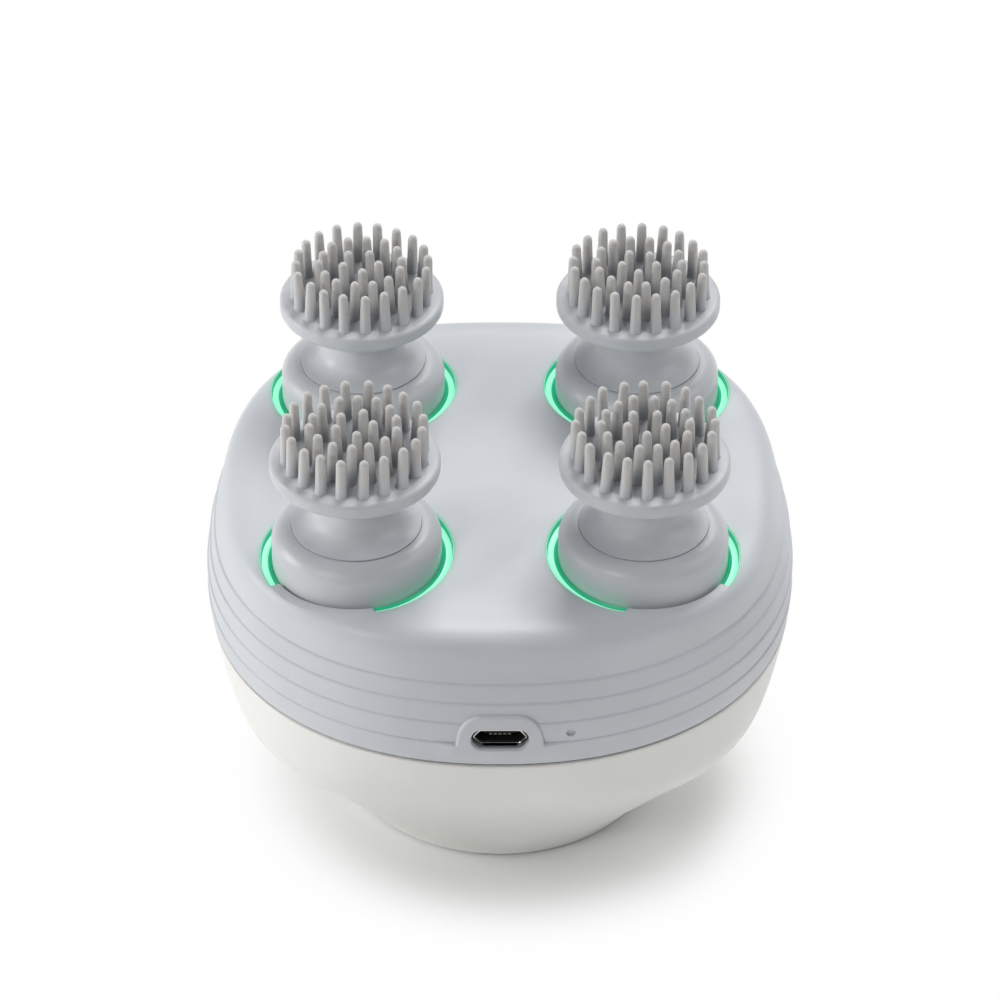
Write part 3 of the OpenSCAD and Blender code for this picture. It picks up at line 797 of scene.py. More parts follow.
def new_object(name: str, mesh: bpy.types.Mesh) -> bpy.types.Object:
    """Puts a mesh in the scene as an object at the origin.

    Args:
        name: of the object.
        mesh: its mesh.

    Returns:
        The object.
    """
    piece = bpy.data.objects.new(name, mesh)
    bpy.context.scene.collection.objects.link(piece)
    return piece


def baked(piece: bpy.types.Object) -> bpy.types.Object:
    """Turns an object's modifiers into its plain mesh and removes them.

    Args:
        piece: the object.

    Returns:
        The object itself.
    """
    bpy.context.view_layer.update()
    graph = bpy.context.evaluated_depsgraph_get()
    mesh = bpy.data.meshes.new_from_object(piece.evaluated_get(graph), depsgraph=graph)
    mesh.name = piece.name
    piece.modifiers.clear()
    piece.data = mesh
    return piece


def carve(piece: bpy.types.Object, tools: Sequence[Draft]) -> bpy.types.Object:
    """Cuts drafts out of a piece.

    Args:
        piece: the object that is cut.
        tools: closed drafts that don't meet each other.

    Returns:
        The piece, with a plain mesh.
    """
    whole = Draft()
    for tool in tools:
        start = len(whole.points)
        whole.points.extend(tool.points)
        whole.faces.extend(tuple(start + i for i in f) for f in tool.faces)
    cutter = new_object("cutter", whole.mesh("cutter"))
    cut = piece.modifiers.new("cut", "BOOLEAN")
    cut.operation, cut.solver, cut.object = "DIFFERENCE", "EXACT", cutter
    baked(piece)
    bpy.data.objects.remove(cutter)
    return piece


def joined(name: str, pieces: Sequence[bpy.types.Object]) -> bpy.types.Object:
    """Joins the meshes of several objects, which are removed.

    Args:
        name: of the new object.
        pieces: the objects.

    Returns:
        The new object.
    """
    work = bmesh.new()
    for piece in pieces:
        work.from_mesh(piece.data)
        bpy.data.objects.remove(piece)
    mesh = bpy.data.meshes.new(name)
    work.to_mesh(mesh)
    work.free()
    return new_object(name, mesh)


class Rule:
    """A Geometry Nodes tree under construction: named inputs, and one geometry at its end."""

    def __init__(self, name: str, inputs: dict[str, str]) -> None:
        """Starts a tree.

        Args:
            name: of the tree.
            inputs: kind of socket by the input's name.
        """
        self.tree = bpy.data.node_groups.new(name, "GeometryNodeTree")
        face = self.tree.interface
        for label, kind in {"Geometry": "Geometry", **inputs, "Material": "Material"}.items():
            face.new_socket(label, in_out="INPUT", socket_type=f"NodeSocket{kind}")
        face.new_socket("Geometry", in_out="OUTPUT", socket_type="NodeSocketGeometry")
        self.given = add_node(self.tree, "NodeGroupInput").outputs

    def end(self, geometry: Out) -> None:
        """Ends the tree: its instances become real and take the given material.

        Args:
            geometry: what the tree has made.
        """
        real = add_node(self.tree, "GeometryNodeRealizeInstances", links={0: geometry})
        links = {"Geometry": real.outputs[0], "Material": self.given["Material"]}
        dressed = add_node(self.tree, "GeometryNodeSetMaterial", links=links)
        add_node(self.tree, "NodeGroupOutput", links={0: dressed.outputs[0]})

    def apply(self, piece: bpy.types.Object, name: str, values: dict[str, object]) -> None:
        """Puts the tree on a piece as a modifier.

        Args:
            piece: the object.
            name: of the modifier.
            values: by the names of the inputs.
        """
        modifier = piece.modifiers.new(name, "NODES")
        modifier.node_group = self.tree
        for label, value in values.items():
            modifier[self.tree.interface.items_tree[label].identifier] = value


class Smooth(Enum):
    """How a piece's faces are shaded."""

    BY_ANGLE = "smooth, apart from sharp edges"
    AS_DRAWN = "as the piece was drawn"


@dataclass
class Workshop:
    """Builds each finish once and hands finished pieces to the frame."""

    made: dict[str, bpy.types.Material] = field(default_factory=dict)

    def finish(self, look: Finish) -> bpy.types.Material:
        """The material of a finish, built the first time that it is asked for."""
        if look.name not in self.made:
            self.made[look.name] = look.build()
        return self.made[look.name]

    def hand_over(
        self,
        piece: bpy.types.Object,
        look: Finish,
        body: str,
        replaces: Sequence[str] = (),
        smooth: Smooth = Smooth.BY_ANGLE,
        angle: float = 35.0,
    ) -> None:
        """Dresses a finished piece and lets it ride on its body.

        Args:
            piece: the object, in its place.
            look: its finish.
            body: the body that it moves with.
            replaces: CAD nodes that it stands for.
            smooth: how its faces are shaded.
            angle: edges sharper than this stay sharp, in degrees.
        """
        piece.data.materials.clear()
        piece.data.materials.append(self.finish(look))
        piece.data.polygons.foreach_set("material_index", [0] * len(piece.data.polygons))
        if smooth is Smooth.BY_ANGLE:
            piece.data.shade_smooth()
            piece.data.set_sharp_from_angle(angle=math.radians(angle))
        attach(piece, body)
        if replaces:
            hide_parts(*replaces)
        log.info("%s: %d faces on %s", piece.name, len(piece.data.polygons), body)


# ---------------------------------------------------------------- shells


@dataclass
class Shells:
    """The grooved top shell with its socket pad, and the bowl under it."""

    form: Form
    top_round: float = 0.35
    rim_round: float = 0.25
    lip_slope: float = 0.31  # how far the highest groove's lip leans in over each mm
    groove_room: float = 0.55  # half the height that a groove's own rings take up
    hole_r: float = 12.2
    slot_r: float = 13.62
    unlit: tuple[Flat, ...] = (  # depth, and radius of the hole's unlit side there
        (0.5, 12.2),
        (0.36, 12.25),
        (0.22, 12.4),
        (0.12, 12.75),
        (0.08, 13.3),
        (0.05, 13.48),
        (0.0, 13.56),
    )
    unlit_over: float = 0.15  # how high above the surface the tool still follows it
    slot_blend: float = 1.2  # degrees over which a slot's end closes
    slot_floor: float = 50.0
    well_wall: float = 0.9
    well_floor: float = 0.8
    well_top: float = 52.4
    well_under: float = 0.95  # gap that the well's rim keeps under the shell's surface
    clear_z: float = 60.0
    hub_r: float = 6.6
    arc_section: tuple[Flat, ...] = (  # radius, and drop below the shell, from the outside in
        (13.6, 0.12),
        (13.58, 0.06),
        (13.49, 0.06),
        (13.46, 0.1),
        (13.44, 0.78),
        (13.36, 0.84),
        (12.6, 0.84),
        (12.46, 0.82),
        (12.36, 0.74),
        (12.16, 0.5),
        (12.12, 0.53),
        (12.1, 0.62),
    )
    ring_start: tuple[float, ...] = (102, 150, 282, 330)
    ring_sweep: float = 288.0
    arc_gap: float = 0.6  # degrees between an arc's end and its slot's
    arc_mid_r: float = 13.5  # where an arc takes its height from the shell
    spindles: tuple[Flat, ...] = (
        (HALF_PITCH, HALF_PITCH),
        (-HALF_PITCH, HALF_PITCH),
        (-HALF_PITCH, -HALF_PITCH),
        (HALF_PITCH, -HALF_PITCH),
    )
    pad_half: float = 5.48
    pad_lean: float = 0.17
    pad_lean_z: float = 41.0
    pad_top: float = 42.1
    pad_low: float = 33.4
    pad_round: float = 3.0
    pad_height: float = 0.45
    pad_edge: float = 0.4
    pad_slab: float = 1.2
    pad_hidden: float = 0.6  # how deep inside the wall the slab runs where there is no pad
    apron_rise: float = 2.8
    apron_blend: float = 0.3
    apron_sink: float = 0.02
    apron_reach: float = 11.0
    socket_z: float = 38.15
    socket_mouth: Flat = (7.9, 3.2)
    socket_lip: tuple[float, ...] = (0.95, 0.22, 0.55, 0.5)
    indicator: Flat = (9.8, 38.5)
    indicator_d: float = 1.24
    indicator_lip: float = 0.22

    def slot_edge(self, index: int, drop: float, grow: float = 0.0) -> list[Flat]:
        """Outline of a pod's hole at a depth: wide where its light arc lies, rounded over elsewhere.

        Args:
            index: the spindle's number, from 0.
            drop: depth under the shell's surface; negative is above it.
            grow: how much larger the outline is.

        Returns:
            Points around the pod's axis, anticlockwise.
        """
        unlit = self.unlit_r(drop)
        points = []
        for angle in range(360):
            past = (angle - self.ring_start[index]) % 360
            end = min(past, self.ring_sweep - past)
            if past > self.ring_sweep:
                end = -min(past - self.ring_sweep, 360 - past)
            lit = min(1.0, max(0.0, 0.5 + end / self.slot_blend))
            r = unlit + (self.slot_r - unlit) * lit + grow
            points.append(around(self.spindles[index], r, angle))
        return points

    def unlit_r(self, drop: float) -> float:
        """Radius of a hole's unlit side, which opens out above the surface.

        Args:
            drop: depth under the surface.

        Returns:
            The radius.
        """
        if drop <= 0:
            return self.unlit[-1][1] - 3 * drop
        if drop >= self.unlit[0][0]:
            return self.hole_r
        for (low, r0), (high, r1) in zip(self.unlit, self.unlit[1:]):
            if drop >= high:
                return r0 + (r1 - r0) * min(1.0, (low - drop) / (low - high))
        return self.hole_r

    def top_rows(self) -> list[Ring]:
        """Rings of the top shell's outer side.

        Returns:
            The rings, from its lower edge up over the pole.
        """
        f = self.form
        rows: list[Ring] = []
        edge, a_edge = self.top_round, f.band_a(f.top_edge)
        for a, z in corner((a_edge - edge, f.top_edge + edge), edge, -90, 0, 6):
            rows.append(f.ring(a, z, f.band_n(f.seam_z)))
        heights = set(round(z, 3) for z in steps(f.top_edge + 0.8, f.band_top - 0.9, 14))
        for g in f.groove_zs:
            heights = {z for z in heights if abs(z - g) > self.groove_room}
            heights |= {round(g + rise, 3) for rise, _ in f.groove}
        for z in sorted(heights):
            if z <= f.band_top:
                a, n = f.band_a(z), f.band_n(z)
            else:
                a, n = f.band_a(f.band_top) - self.lip_slope * (z - f.band_top), f.dome_n(z)
            rows.append(f.ring(a - f.inset(z), z, n))
        for t in steps(0.05, 1, 30):
            a, z = bezier(f.dome_curve, t)
            rows.append(f.ring(a - f.inset(z), z, f.dome_n(z)))
        for a in steps(33, 1, 22):
            rows.append(f.ring(a, f.cap_z(a), f.dome_n(f.top_z)))
        rows.append([(0.0, 0.0, f.top_z)])
        return rows

    def inner_rows(self) -> list[Ring]:
        """Rings of the top shell's inner side.

        Returns:
            The rings, from its middle down to its edge.
        """
        f = self.form
        rows: list[Ring] = [[(0.0, 0.0, f.top_z - f.wall)]]
        for a in steps(2, 32, 12):
            rows.append(f.ring(a, f.cap_z(a) - f.wall, f.dome_n(f.top_z)))
        for t in steps(0.95, 0.05, 14):
            a, z = bezier(f.dome_curve, t, f.wall)
            rows.append(f.ring(a, z, f.dome_n(z)))
        for z in (45, 43, 40, 37, 35, f.top_edge):
            rows.append(f.ring(f.band_a(z) - f.wall, z, f.band_n(z)))
        return rows

    def slot_tool(self, index: int) -> Draft:
        """Tool that cuts a pod's hole and its light slot, and rounds the hole's unlit edge over.

        Args:
            index: the spindle's number, from 0.

        Returns:
            The closed tool.
        """
        rings = [[(x, y, self.slot_floor) for x, y in self.slot_edge(index, 1.0)]]
        for drop in [low for low, _ in self.unlit] + [-self.unlit_over]:
            edge = self.slot_edge(index, drop)
            rings.append([(x, y, self.form.surface_z(x, y) - drop) for x, y in edge])
        rings.append([(x, y, self.clear_z) for x, y, _ in rings[-1]])
        return Draft().skin(rings, capped=True)

    def well(self, index: int) -> Draft:
        """Cup under a pod's hole, so that the slot has walls and a floor.

        Args:
            index: the spindle's number, from 0.

        Returns:
            The closed cup.
        """
        inner = self.slot_edge(index, 1.0, 0.01)
        outer = self.slot_edge(index, 1.0, self.well_wall)
        hub = [around(self.spindles[index], self.hub_r, a) for a in range(len(inner))]
        rim = [min(self.well_top, self.form.surface_z(x, y) - self.well_under) for x, y in outer]
        low, floor = ([self.slot_floor - down] * len(hub) for down in (self.well_floor, 0))
        rows = ((hub, low), (outer, low), (outer, rim), (inner, rim), (inner, floor), (hub, floor))
        return Draft().skin([[(x, y, z) for (x, y), z in zip(*row)] for row in rows], looped=True)

    def band_y(self, x: float, z: float) -> float:
        """Front of the plain band, without its grooves, at a place across and up."""
        a, n = self.form.band_a(z), self.form.band_n(z)
        return -((a**n - abs(x) ** n) ** (1 / n))

    def pad_out(self, x: float, z: float) -> float:
        """How far the pad and the apron under it stand out of the plain band.

        Args:
            x: place across.
            z: height.

        Returns:
            The distance; a negative one is out of sight inside the shell's wall.
        """
        half = self.pad_half + self.pad_lean * max(0.0, self.pad_lean_z - z)
        dx = abs(x) - half + self.pad_round
        dz = z - self.pad_top + self.pad_round
        gap = math.hypot(max(dx, 0), max(dz, 0)) + min(max(dx, dz), 0) - self.pad_round
        edge = min(1.0, max(0.0, -gap / self.pad_edge))
        step = self.pad_height * math.sqrt(1 - (1 - edge) ** 2) if gap < 0 else -self.pad_hidden
        lowest = self.form.groove_zs[0]
        if z > lowest:
            return step
        aside = soft((self.apron_reach - abs(x)) / (self.apron_reach - half))
        low = self.pad_height * aside**2 * soft((z - self.pad_low) / self.apron_rise)
        cut = self.form.inset(z) * soft((abs(x) - half + self.apron_blend) / self.apron_blend)
        return low - cut - self.apron_sink

    def pad(self) -> Draft:
        """The raised pad around the socket and the apron that it runs out into.

        Returns:
            A thin closed slab.
        """
        reach = self.apron_reach + 0.4
        right = steps(0, 2.4, 6) + steps(2.5, 6.7, 50) + steps(7.1, reach, 9)
        xs = [-x for x in reversed(right[1:])] + right
        lowest = self.form.groove_zs[0]
        zs = steps(self.pad_low, lowest - 0.45, 12)
        zs += [lowest + rise for rise in (-0.30, -0.20, -0.12, -0.05, 0.0, 0.02, 0.08)]
        zs += steps(lowest + 0.3, 39.6, 12) + steps(39.7, self.pad_top + 0.2, 30)
        front, back = [], []
        for z in zs:
            for x in xs:
                y = self.band_y(x, z)
                front.append((x, y - self.pad_out(x, z), z))
                back.append((x, y + self.pad_slab, z))
        columns, rows = len(xs), len(zs)
        draft = Draft()
        draft.points = front + back
        shift = len(front)
        for j in range(rows - 1):
            for i in range(columns - 1):
                a = j * columns + i
                face = (a, a + 1, a + columns + 1, a + columns)
                draft.faces.append(face)
                draft.faces.append(tuple(shift + v for v in reversed(face)))
        rim = (
            list(range(columns))
            + [j * columns + columns - 1 for j in range(1, rows)]
            + [(rows - 1) * columns + i for i in range(columns - 2, -1, -1)]
            + [j * columns for j in range(rows - 2, 0, -1)]
        )
        for a, b in zip(rim, rim[1:] + rim[:1]):
            draft.faces.append((b, a, shift + a, shift + b))
        return draft

    def mouth_tool(self, centre: Flat, size: Flat, face_y: float, lip: tuple[float, ...]) -> Draft:
        """Tool for a round-ended opening whose edge is rounded over outwards.

        Args:
            centre: across and up.
            size: width and height of the opening; its ends are half-rounds.
            face_y: where the face is.
            lip: how deep the rounded edge goes, and its width at the sides, the top and the bottom.

        Returns:
            The closed tool.
        """
        deep, aside, above, below = lip
        inner_y, clear, flare = -30.0, 3.0, 1.15
        depths = [(inner_y, 0.0)]
        for a in (0, 15, 30, 45, 60, 75, 88):
            turn = math.radians(a)
            depths.append((face_y + deep * (1 - math.sin(turn)), 1 - math.cos(turn)))
        depths.append((face_y - clear, flare))
        half = (size[0] - size[1]) / 2
        count = 96
        rings = []
        for y, share in depths:
            ring = []
            for i in range(count):
                t = 2 * math.pi * (i + 0.5) / count
                rise = math.sin(t)
                wide = aside + ((above if rise > 0 else below) - aside) * soft(abs(rise))
                r = size[1] / 2 + wide * share
                side = half if math.cos(t) > 0 else -half
                ring.append((centre[0] + side + r * math.cos(t), y, centre[1] + r * math.sin(t)))
            rings.append(ring)
        return Draft().skin(rings, capped=True)

    def build_top(self, shop: Workshop) -> None:
        """Builds and dresses the top shell.

        Args:
            shop: takes the finished piece.
        """
        skin = Draft().skin(self.top_rows() + self.inner_rows(), looped=True)
        shell = new_object("top_shell_skin", skin.mesh("top"))
        face = self.band_y(0, self.socket_z) - self.pad_height
        opening = self.mouth_tool((0, self.socket_z - 0.02), self.socket_mouth, face, self.socket_lip)
        pinhole = self.mouth_tool(
            self.indicator,
            (self.indicator_d, self.indicator_d),
            self.band_y(*self.indicator),
            (self.indicator_lip,) * 4,
        )
        carve(shell, [self.slot_tool(i) for i in range(4)] + [opening, pinhole])
        pad = carve(new_object("pad", self.pad().mesh("pad")), [opening])
        wells = [new_object(f"well_{i}", self.well(i).mesh("well")) for i in range(4)]
        piece = joined("top_shell_skin", [shell, pad, *wells])
        shop.hand_over(piece, SHELL_GREY, "casing", ["top_shell"], angle=32)

    def bowl_rows(self) -> list[Ring]:
        """Rings of the bowl.

        Returns:
            The rings, out under the foot, up the outside and down the inside.
        """
        f = self.form
        foot = [(7.1, 3.0), (7.1, 0.6), *corner((7.4, 0.6), 0.3, 180, 270, 4)]
        foot += [(12.3, 0.3), (12.5, 0.45), (12.5, 1.0), (20.7, 1.0), (20.7, 0.45), (20.9, 0.3)]
        foot += corner((f.foot_r - 1.0, 1.3), 1.0, -88, -6, 7)
        rows = [f.ring(r, z, 2) for r, z in foot]
        for t in steps(0.0, 0.985, 40):
            a, z = bezier(f.bowl_curve, t)
            rows.append(f.ring(a, z, f.bowl_n(z)))
        a_rim, edge = f.band_a(f.low_edge), self.rim_round
        for a, z in corner((a_rim - edge, f.low_edge - edge), edge, 0, 90, 5):
            rows.append(f.ring(a, z, f.bowl_n(f.low_edge)))
        rows.append(f.ring(a_rim - f.wall, f.low_edge, f.bowl_n(f.low_edge)))
        for t in steps(0.94, 0.15, 14):
            a, z = bezier(f.bowl_curve, t, f.wall)
            rows.append(f.ring(a, z, f.bowl_n(z)))
        rows.append(f.ring(f.foot_r - f.wall, 3.0, 2))
        return rows

    def build_bowl(self, shop: Workshop) -> None:
        """Builds and dresses the lower shell."""
        piece = new_object("lower_shell_skin", Draft().skin(self.bowl_rows(), looped=True).mesh("bowl"))
        shop.hand_over(piece, IVORY, "casing", ["lower_shell"], angle=40)

    def light_arc(self, index: int) -> Draft:
        """A light arc whose face lies a little under the shell and whose thin lip lines the slot.

        Args:
            index: the spindle's number, from 0.

        Returns:
            The closed arc.
        """
        centre = self.spindles[index]
        low = self.slot_floor + 0.02
        start, sweep = self.ring_start[index] + self.arc_gap, self.ring_sweep - 2 * self.arc_gap
        outer, inner = self.arc_section[0][0], self.arc_section[-1][0]
        rings: list[Ring] = []
        for angle in steps(start, start + sweep, 141):
            z = self.form.surface_z(*around(centre, self.arc_mid_r, angle))
            ring = [(*around(centre, outer, angle), low)]
            ring += [(*around(centre, r, angle), z - drop) for r, drop in self.arc_section]
            ring += [(*around(centre, inner, angle), low)]
            rings.append(ring)
        return Draft().skin(rings, capped=True)

    def build_lights(self, shop: Workshop) -> None:
        """Builds and dresses the four light arcs."""
        for i in range(4):
            piece = new_object(f"light_arc_{i + 1}", self.light_arc(i).mesh("arc"))
            shop.hand_over(piece, LIGHT, "casing", [f"light_ring_{i + 1}"], angle=50)


# ---------------------------------------------------------------- pods and heads


@dataclass
class PodHead:
    """A turning pod and the silicone head that plugs onto it."""

    index: int
    centre: Flat
    turn: float
    pod_r: float = 11.9
    pod_low: float = 50.5
    pod_top: float = 58.75
    pod_round: float = 2.5
    pod_dish: float = 0.14
    pod_bore_r: float = 2.5
    flare_r: float = 9.1
    neck_r: float = 5.4
    neck_z: float = 63.0
    disc_r: float = 11.85
    disc_under: float = 67.7
    core_r: float = 4.0
    core_disc_r: float = 8.5
    core_disc: Flat = (68.0, 69.0)
    tip_z: float = 76.2
    root_r: float = 0.84
    tip_r: float = 0.66
    lean: float = 2.2
    rings: tuple[tuple[float, int, float], ...] = ((9.5, 20, 0), (6.05, 14, 1), (2.62, 5, 55))

    def build_pod(self, shop: Workshop) -> None:
        """Builds and dresses the pod.

        Args:
            shop: takes the finished piece.
        """
        r, low, top, edge = self.pod_r, self.pod_low, self.pod_top, self.pod_round
        dish = top - self.pod_dish
        profile = [(self.pod_bore_r, low + 1.2), (10.4, low + 1.2), (10.6, low)]
        profile += [(r - 0.25, low)] + corner((r - 0.25, low + 0.25), 0.25, -80, 0, 4)
        profile += [(r, z) for z in steps(low + 1, top - edge - 0.2, 4)]
        profile += corner((r - edge, top - edge), edge, 4, 90, 14)
        profile += [(self.flare_r + 0.045, top), (self.flare_r + 0.01, top - 0.04)]
        profile += [(self.flare_r - 0.02, dish), (self.pod_bore_r, dish)]
        skin = Draft().lathe(profile, 160, self.centre)
        piece = new_object(f"pod_{self.index}_skin", skin.mesh("pod"))
        body = f"turning_pod_{self.index}"
        shop.hand_over(piece, POD_GREY, body, [f"pod_{self.index}"], angle=40)

    def head_profile(self) -> list[Flat]:
        """Section of the silicone: flare on the pod, narrow neck, disc.

        Returns:
            Radius and height of its corners, from the pod up to the disc's middle.
        """
        low, r, neck, neck_z = self.pod_top, self.flare_r, self.neck_r, self.neck_z
        profile = [(self.core_r, low - 0.02), (r - 0.12, low - 0.02), (r - 0.02, low + 0.03), (r, low + 0.22)]
        flare = ((r, low + 0.25), (7.4, low + 0.35), (neck, low + 1.3), (neck, neck_z))
        profile += [bezier(flare, t) for t in steps(0.05, 1, 18)]
        bell = (neck, neck_z + 2.4), (7.4, self.disc_under - 0.7)
        under = ((neck, neck_z), *bell, (self.disc_r - 0.9, self.disc_under))
        profile += [bezier(under, t) for t in steps(0.06, 1, 16)]
        profile += corner((self.disc_r - 0.75, self.disc_under + 0.8), 0.75, -70, -5, 5)
        profile += corner((self.disc_r - 0.55, DISC_TOP - 0.55), 0.55, 5, 90, 6)
        profile += [(a, DISC_TOP) for a in (10.6, 8, 5, 2, 0)]
        return profile

    def bristle(self) -> bpy.types.Object:
        """One bristle that stands on the origin: filleted root, slight taper, round tip.

        Returns:
            The bristle.
        """
        length = self.tip_z - DISC_TOP
        straight = length - self.tip_r
        root, tip = self.root_r, self.tip_r
        profile = [(0, -0.1), (root + 0.14, -0.06), (root + 0.05, 0.08), (root, 0.28)]
        profile += [(root + (tip - root) * z / straight, z) for z in (straight * 0.5, straight)]
        profile += [around((0, straight), tip, a) for a in (28, 55, 76)]
        profile += [(0, length)]
        mesh = Draft().lathe(profile, 12).mesh("bristle")
        mesh.shade_smooth()
        return new_object("bristle", mesh)

    def build_head(self, shop: Workshop, rule: Rule) -> None:
        """Builds and dresses the silicone head.

        Args:
            shop: builds the finish.
            rule: stands one ring of bristles on the disc.
        """
        name = f"massage_head_{self.index}_skin"
        low, high = self.core_disc
        inner = [(0, high), (self.core_disc_r, high), (self.core_disc_r, low), (self.core_r, low)]
        piece = new_object(name, Draft().lathe(inner + self.head_profile(), 128).mesh(name))
        piece.data.shade_smooth()
        piece.data.set_sharp_from_angle(angle=math.radians(50))
        bristle = self.bristle()
        for k, (radius, count, turn) in enumerate(self.rings):
            values = {
                "Bristle": bristle,
                "Ring radius": radius * MM,
                "Bristle count": count,
                "Turn": math.radians(turn + self.turn),
                "Height": DISC_TOP * MM,
                "Lean": math.radians(self.lean),
                "Seed": 10 * self.index + k,
                "Material": shop.finish(SILICONE),
            }
            rule.apply(piece, f"ring_{k}", values)
        baked(piece)
        bpy.data.objects.remove(bristle)
        piece.data.transform(Matrix.Translation((self.centre[0] * MM, self.centre[1] * MM, 0)))
        body, node = f"bristle_head_{self.index}", f"massage_head_{self.index}"
        shop.hand_over(piece, SILICONE, body, [node], Smooth.AS_DRAWN)


def bristle_ring() -> Rule:
    """Geometry Nodes tree that stands a ring of leaning bristles on a piece.

    Returns:
        The tree, whose named inputs are the bristle, the ring's sizes, the lean and the seed.
    """
    inputs = {"Bristle": "Object", "Ring radius": "Float", "Bristle count": "Int"}
    inputs |= {"Turn": "Float", "Height": "Float", "Lean": "Float", "Seed": "Int"}
    rule = Rule("ring_of_bristles", inputs)
    tree, given = rule.tree, rule.given
    links = {"Vertices": given["Bristle count"], "Radius": given["Ring radius"]}
    circle = add_node(tree, "GeometryNodeMeshCircle", {"fill_type": "NONE"}, links)
    lift = add_node(tree, "ShaderNodeCombineXYZ", links={2: given["Height"]})
    spin = add_node(tree, "ShaderNodeCombineXYZ", links={2: given["Turn"]})
    links = {0: circle.outputs[0], "Translation": lift.outputs[0], "Rotation": spin.outputs[0]}
    placed = add_node(tree, "GeometryNodeTransform", links=links)
    down = add_node(tree, "ShaderNodeMath", {"operation": "MULTIPLY", 1: -1.0}, {0: given["Lean"]})
    low = add_node(tree, "ShaderNodeCombineXYZ", links={0: down.outputs[0], 1: down.outputs[0]})
    high = add_node(tree, "ShaderNodeCombineXYZ", links={0: given["Lean"], 1: given["Lean"]})
    links = {0: low.outputs[0], 1: high.outputs[0], "Seed": given["Seed"]}
    lean = add_node(tree, "FunctionNodeRandomValue", {"data_type": "FLOAT_VECTOR"}, links)
    shape = add_node(tree, "GeometryNodeObjectInfo", links={"Object": given["Bristle"]})
    links = {"Points": placed.outputs[0], "Instance": shape.outputs["Geometry"]}
    links["Rotation"] = lean.outputs[0]
    stood = add_node(tree, "GeometryNodeInstanceOnPoints", links=links)
    both = add_node(tree, "GeometryNodeJoinGeometry", links={0: stood.outputs[0]})
    tree.links.new(given["Geometry"], both.inputs[0])
    rule.end(both.outputs[0])
    return rule


# ---------------------------------------------------------------- socket


@dataclass
class Socket:
    """The charging socket's folded metal shell, its dark lining, which is partly painted shade, and its five
    contacts.
    """

    z: float = 38.15
    front: float = -41.9
    back: float = -36.9
    half: tuple[Flat, ...] = (  # left half of its outline, across and up from its middle
        (-2.72, 1.2),
        (-2.95, 1.09),
        (-3.7, 0.12),
        (-3.75, -0.04),
        (-3.7, -0.2),
        (-2.97, -1.08),
        (-2.76, -1.2),
    )
    lean: float = 0.2
    contact_pitch: float = 0.65
    contact_start: Point = (-1.3, -39.55, -0.06)  # the last is up from the socket's middle
    contact_size: Point = (0.42, 3.26, 0.2)

    def tube(self, name: str, path: Sequence[Point]) -> bpy.types.Object:
        """A closed six-sided tube with bent corners, turned back into itself at its mouth.

        Args:
            name: of the piece.
            path: for each ring its place, how far it is outside the outline, and how far
                each millimetre under the middle moves it back.

        Returns:
            The piece, with its faces turned outwards.
        """
        (wide, _), (_, tall) = self.half[3], self.half[0]
        rings = []
        for y, grow, lean in path:
            across, up = 1 - grow / wide, 1 + grow / tall
            outline = [(x * across, self.z + z * up) for x, z in self.half]
            outline += [(-x, z) for x, z in reversed(outline)]
            rings.append([(x, y + lean * max(0.0, self.z - z), z) for x, z in outline])
        piece = new_object(name, Draft().skin(rings, capped=True).mesh(name))
        work = bmesh.new()
        work.from_mesh(piece.data)
        bmesh.ops.recalc_face_normals(work, faces=work.faces)
        work.to_mesh(piece.data)
        work.free()
        return piece

    def build(self, shop: Workshop) -> None:
        """Builds and dresses the metal shell, the dark moulding in it, which is partly painted shade, and the
        contacts.

        Args:
            shop: takes the finished pieces.
        """
        back, front = self.back, self.front
        path = [(back, 0.0, 0.0), (front + 0.03, 0.0, self.lean), (front, -0.04, 0.75 * self.lean)]
        path += [(front, -0.15, 0.0), (front + 0.05, -0.2, 0.0), (back - 0.6, -0.2, 0.0)]
        piece = self.tube("socket_shell_skin", path)
        shop.hand_over(piece, NICKEL, "casing", ["socket_shell"], angle=30)
        # A dead-black lining inside the metal shell: partly the socket's black housing, partly painted shade
        # over the metal's inner walls.
        path = [(back, -0.21, 0.0), (front + 0.35, -0.21, 0.0)]
        path += [(front + 0.4, -0.3, 0.0), (back - 0.5, -0.3, 0.0)]
        piece = self.tube("socket_lining", path)
        shop.hand_over(piece, SOCKET_PLASTIC, "casing", angle=30)
        self.build_contacts(shop)

    def build_contacts(self, shop: Workshop) -> None:
        """Sets five contacts in a row along the tongue, so that their blunt tips show.

        Args:
            shop: takes the finished piece.
        """
        inputs = {"Contact count": "Int", "Pitch": "Vector", "Start": "Vector", "Size": "Vector"}
        rule = Rule("row_of_contacts", inputs)
        tree, given = rule.tree, rule.given
        links = {"Count": given["Contact count"], "Start Location": given["Start"]}
        links["Offset"] = given["Pitch"]
        row = add_node(tree, "GeometryNodeMeshLine", {"mode": "OFFSET"}, links)
        strip = add_node(tree, "GeometryNodeMeshCube", links={"Size": given["Size"]})
        links = {"Points": row.outputs[0], "Instance": strip.outputs["Mesh"]}
        stood = add_node(tree, "GeometryNodeInstanceOnPoints", links=links)
        rule.end(stood.outputs[0])
        piece = new_object("socket_contacts", bpy.data.meshes.new("contacts"))
        x, y, z = self.contact_start
        values = {
            "Contact count": 5,
            "Pitch": (self.contact_pitch * MM, 0, 0),
            "Start": (x * MM, y * MM, (self.z + z) * MM),
            "Size": tuple(side * MM for side in self.contact_size),
            "Material": shop.finish(TINNED),
        }
        rule.apply(piece, "contacts", values)
        shop.hand_over(baked(piece), TINNED, "casing", angle=30)


# ---------------------------------------------------------------- carried-over CAD nodes

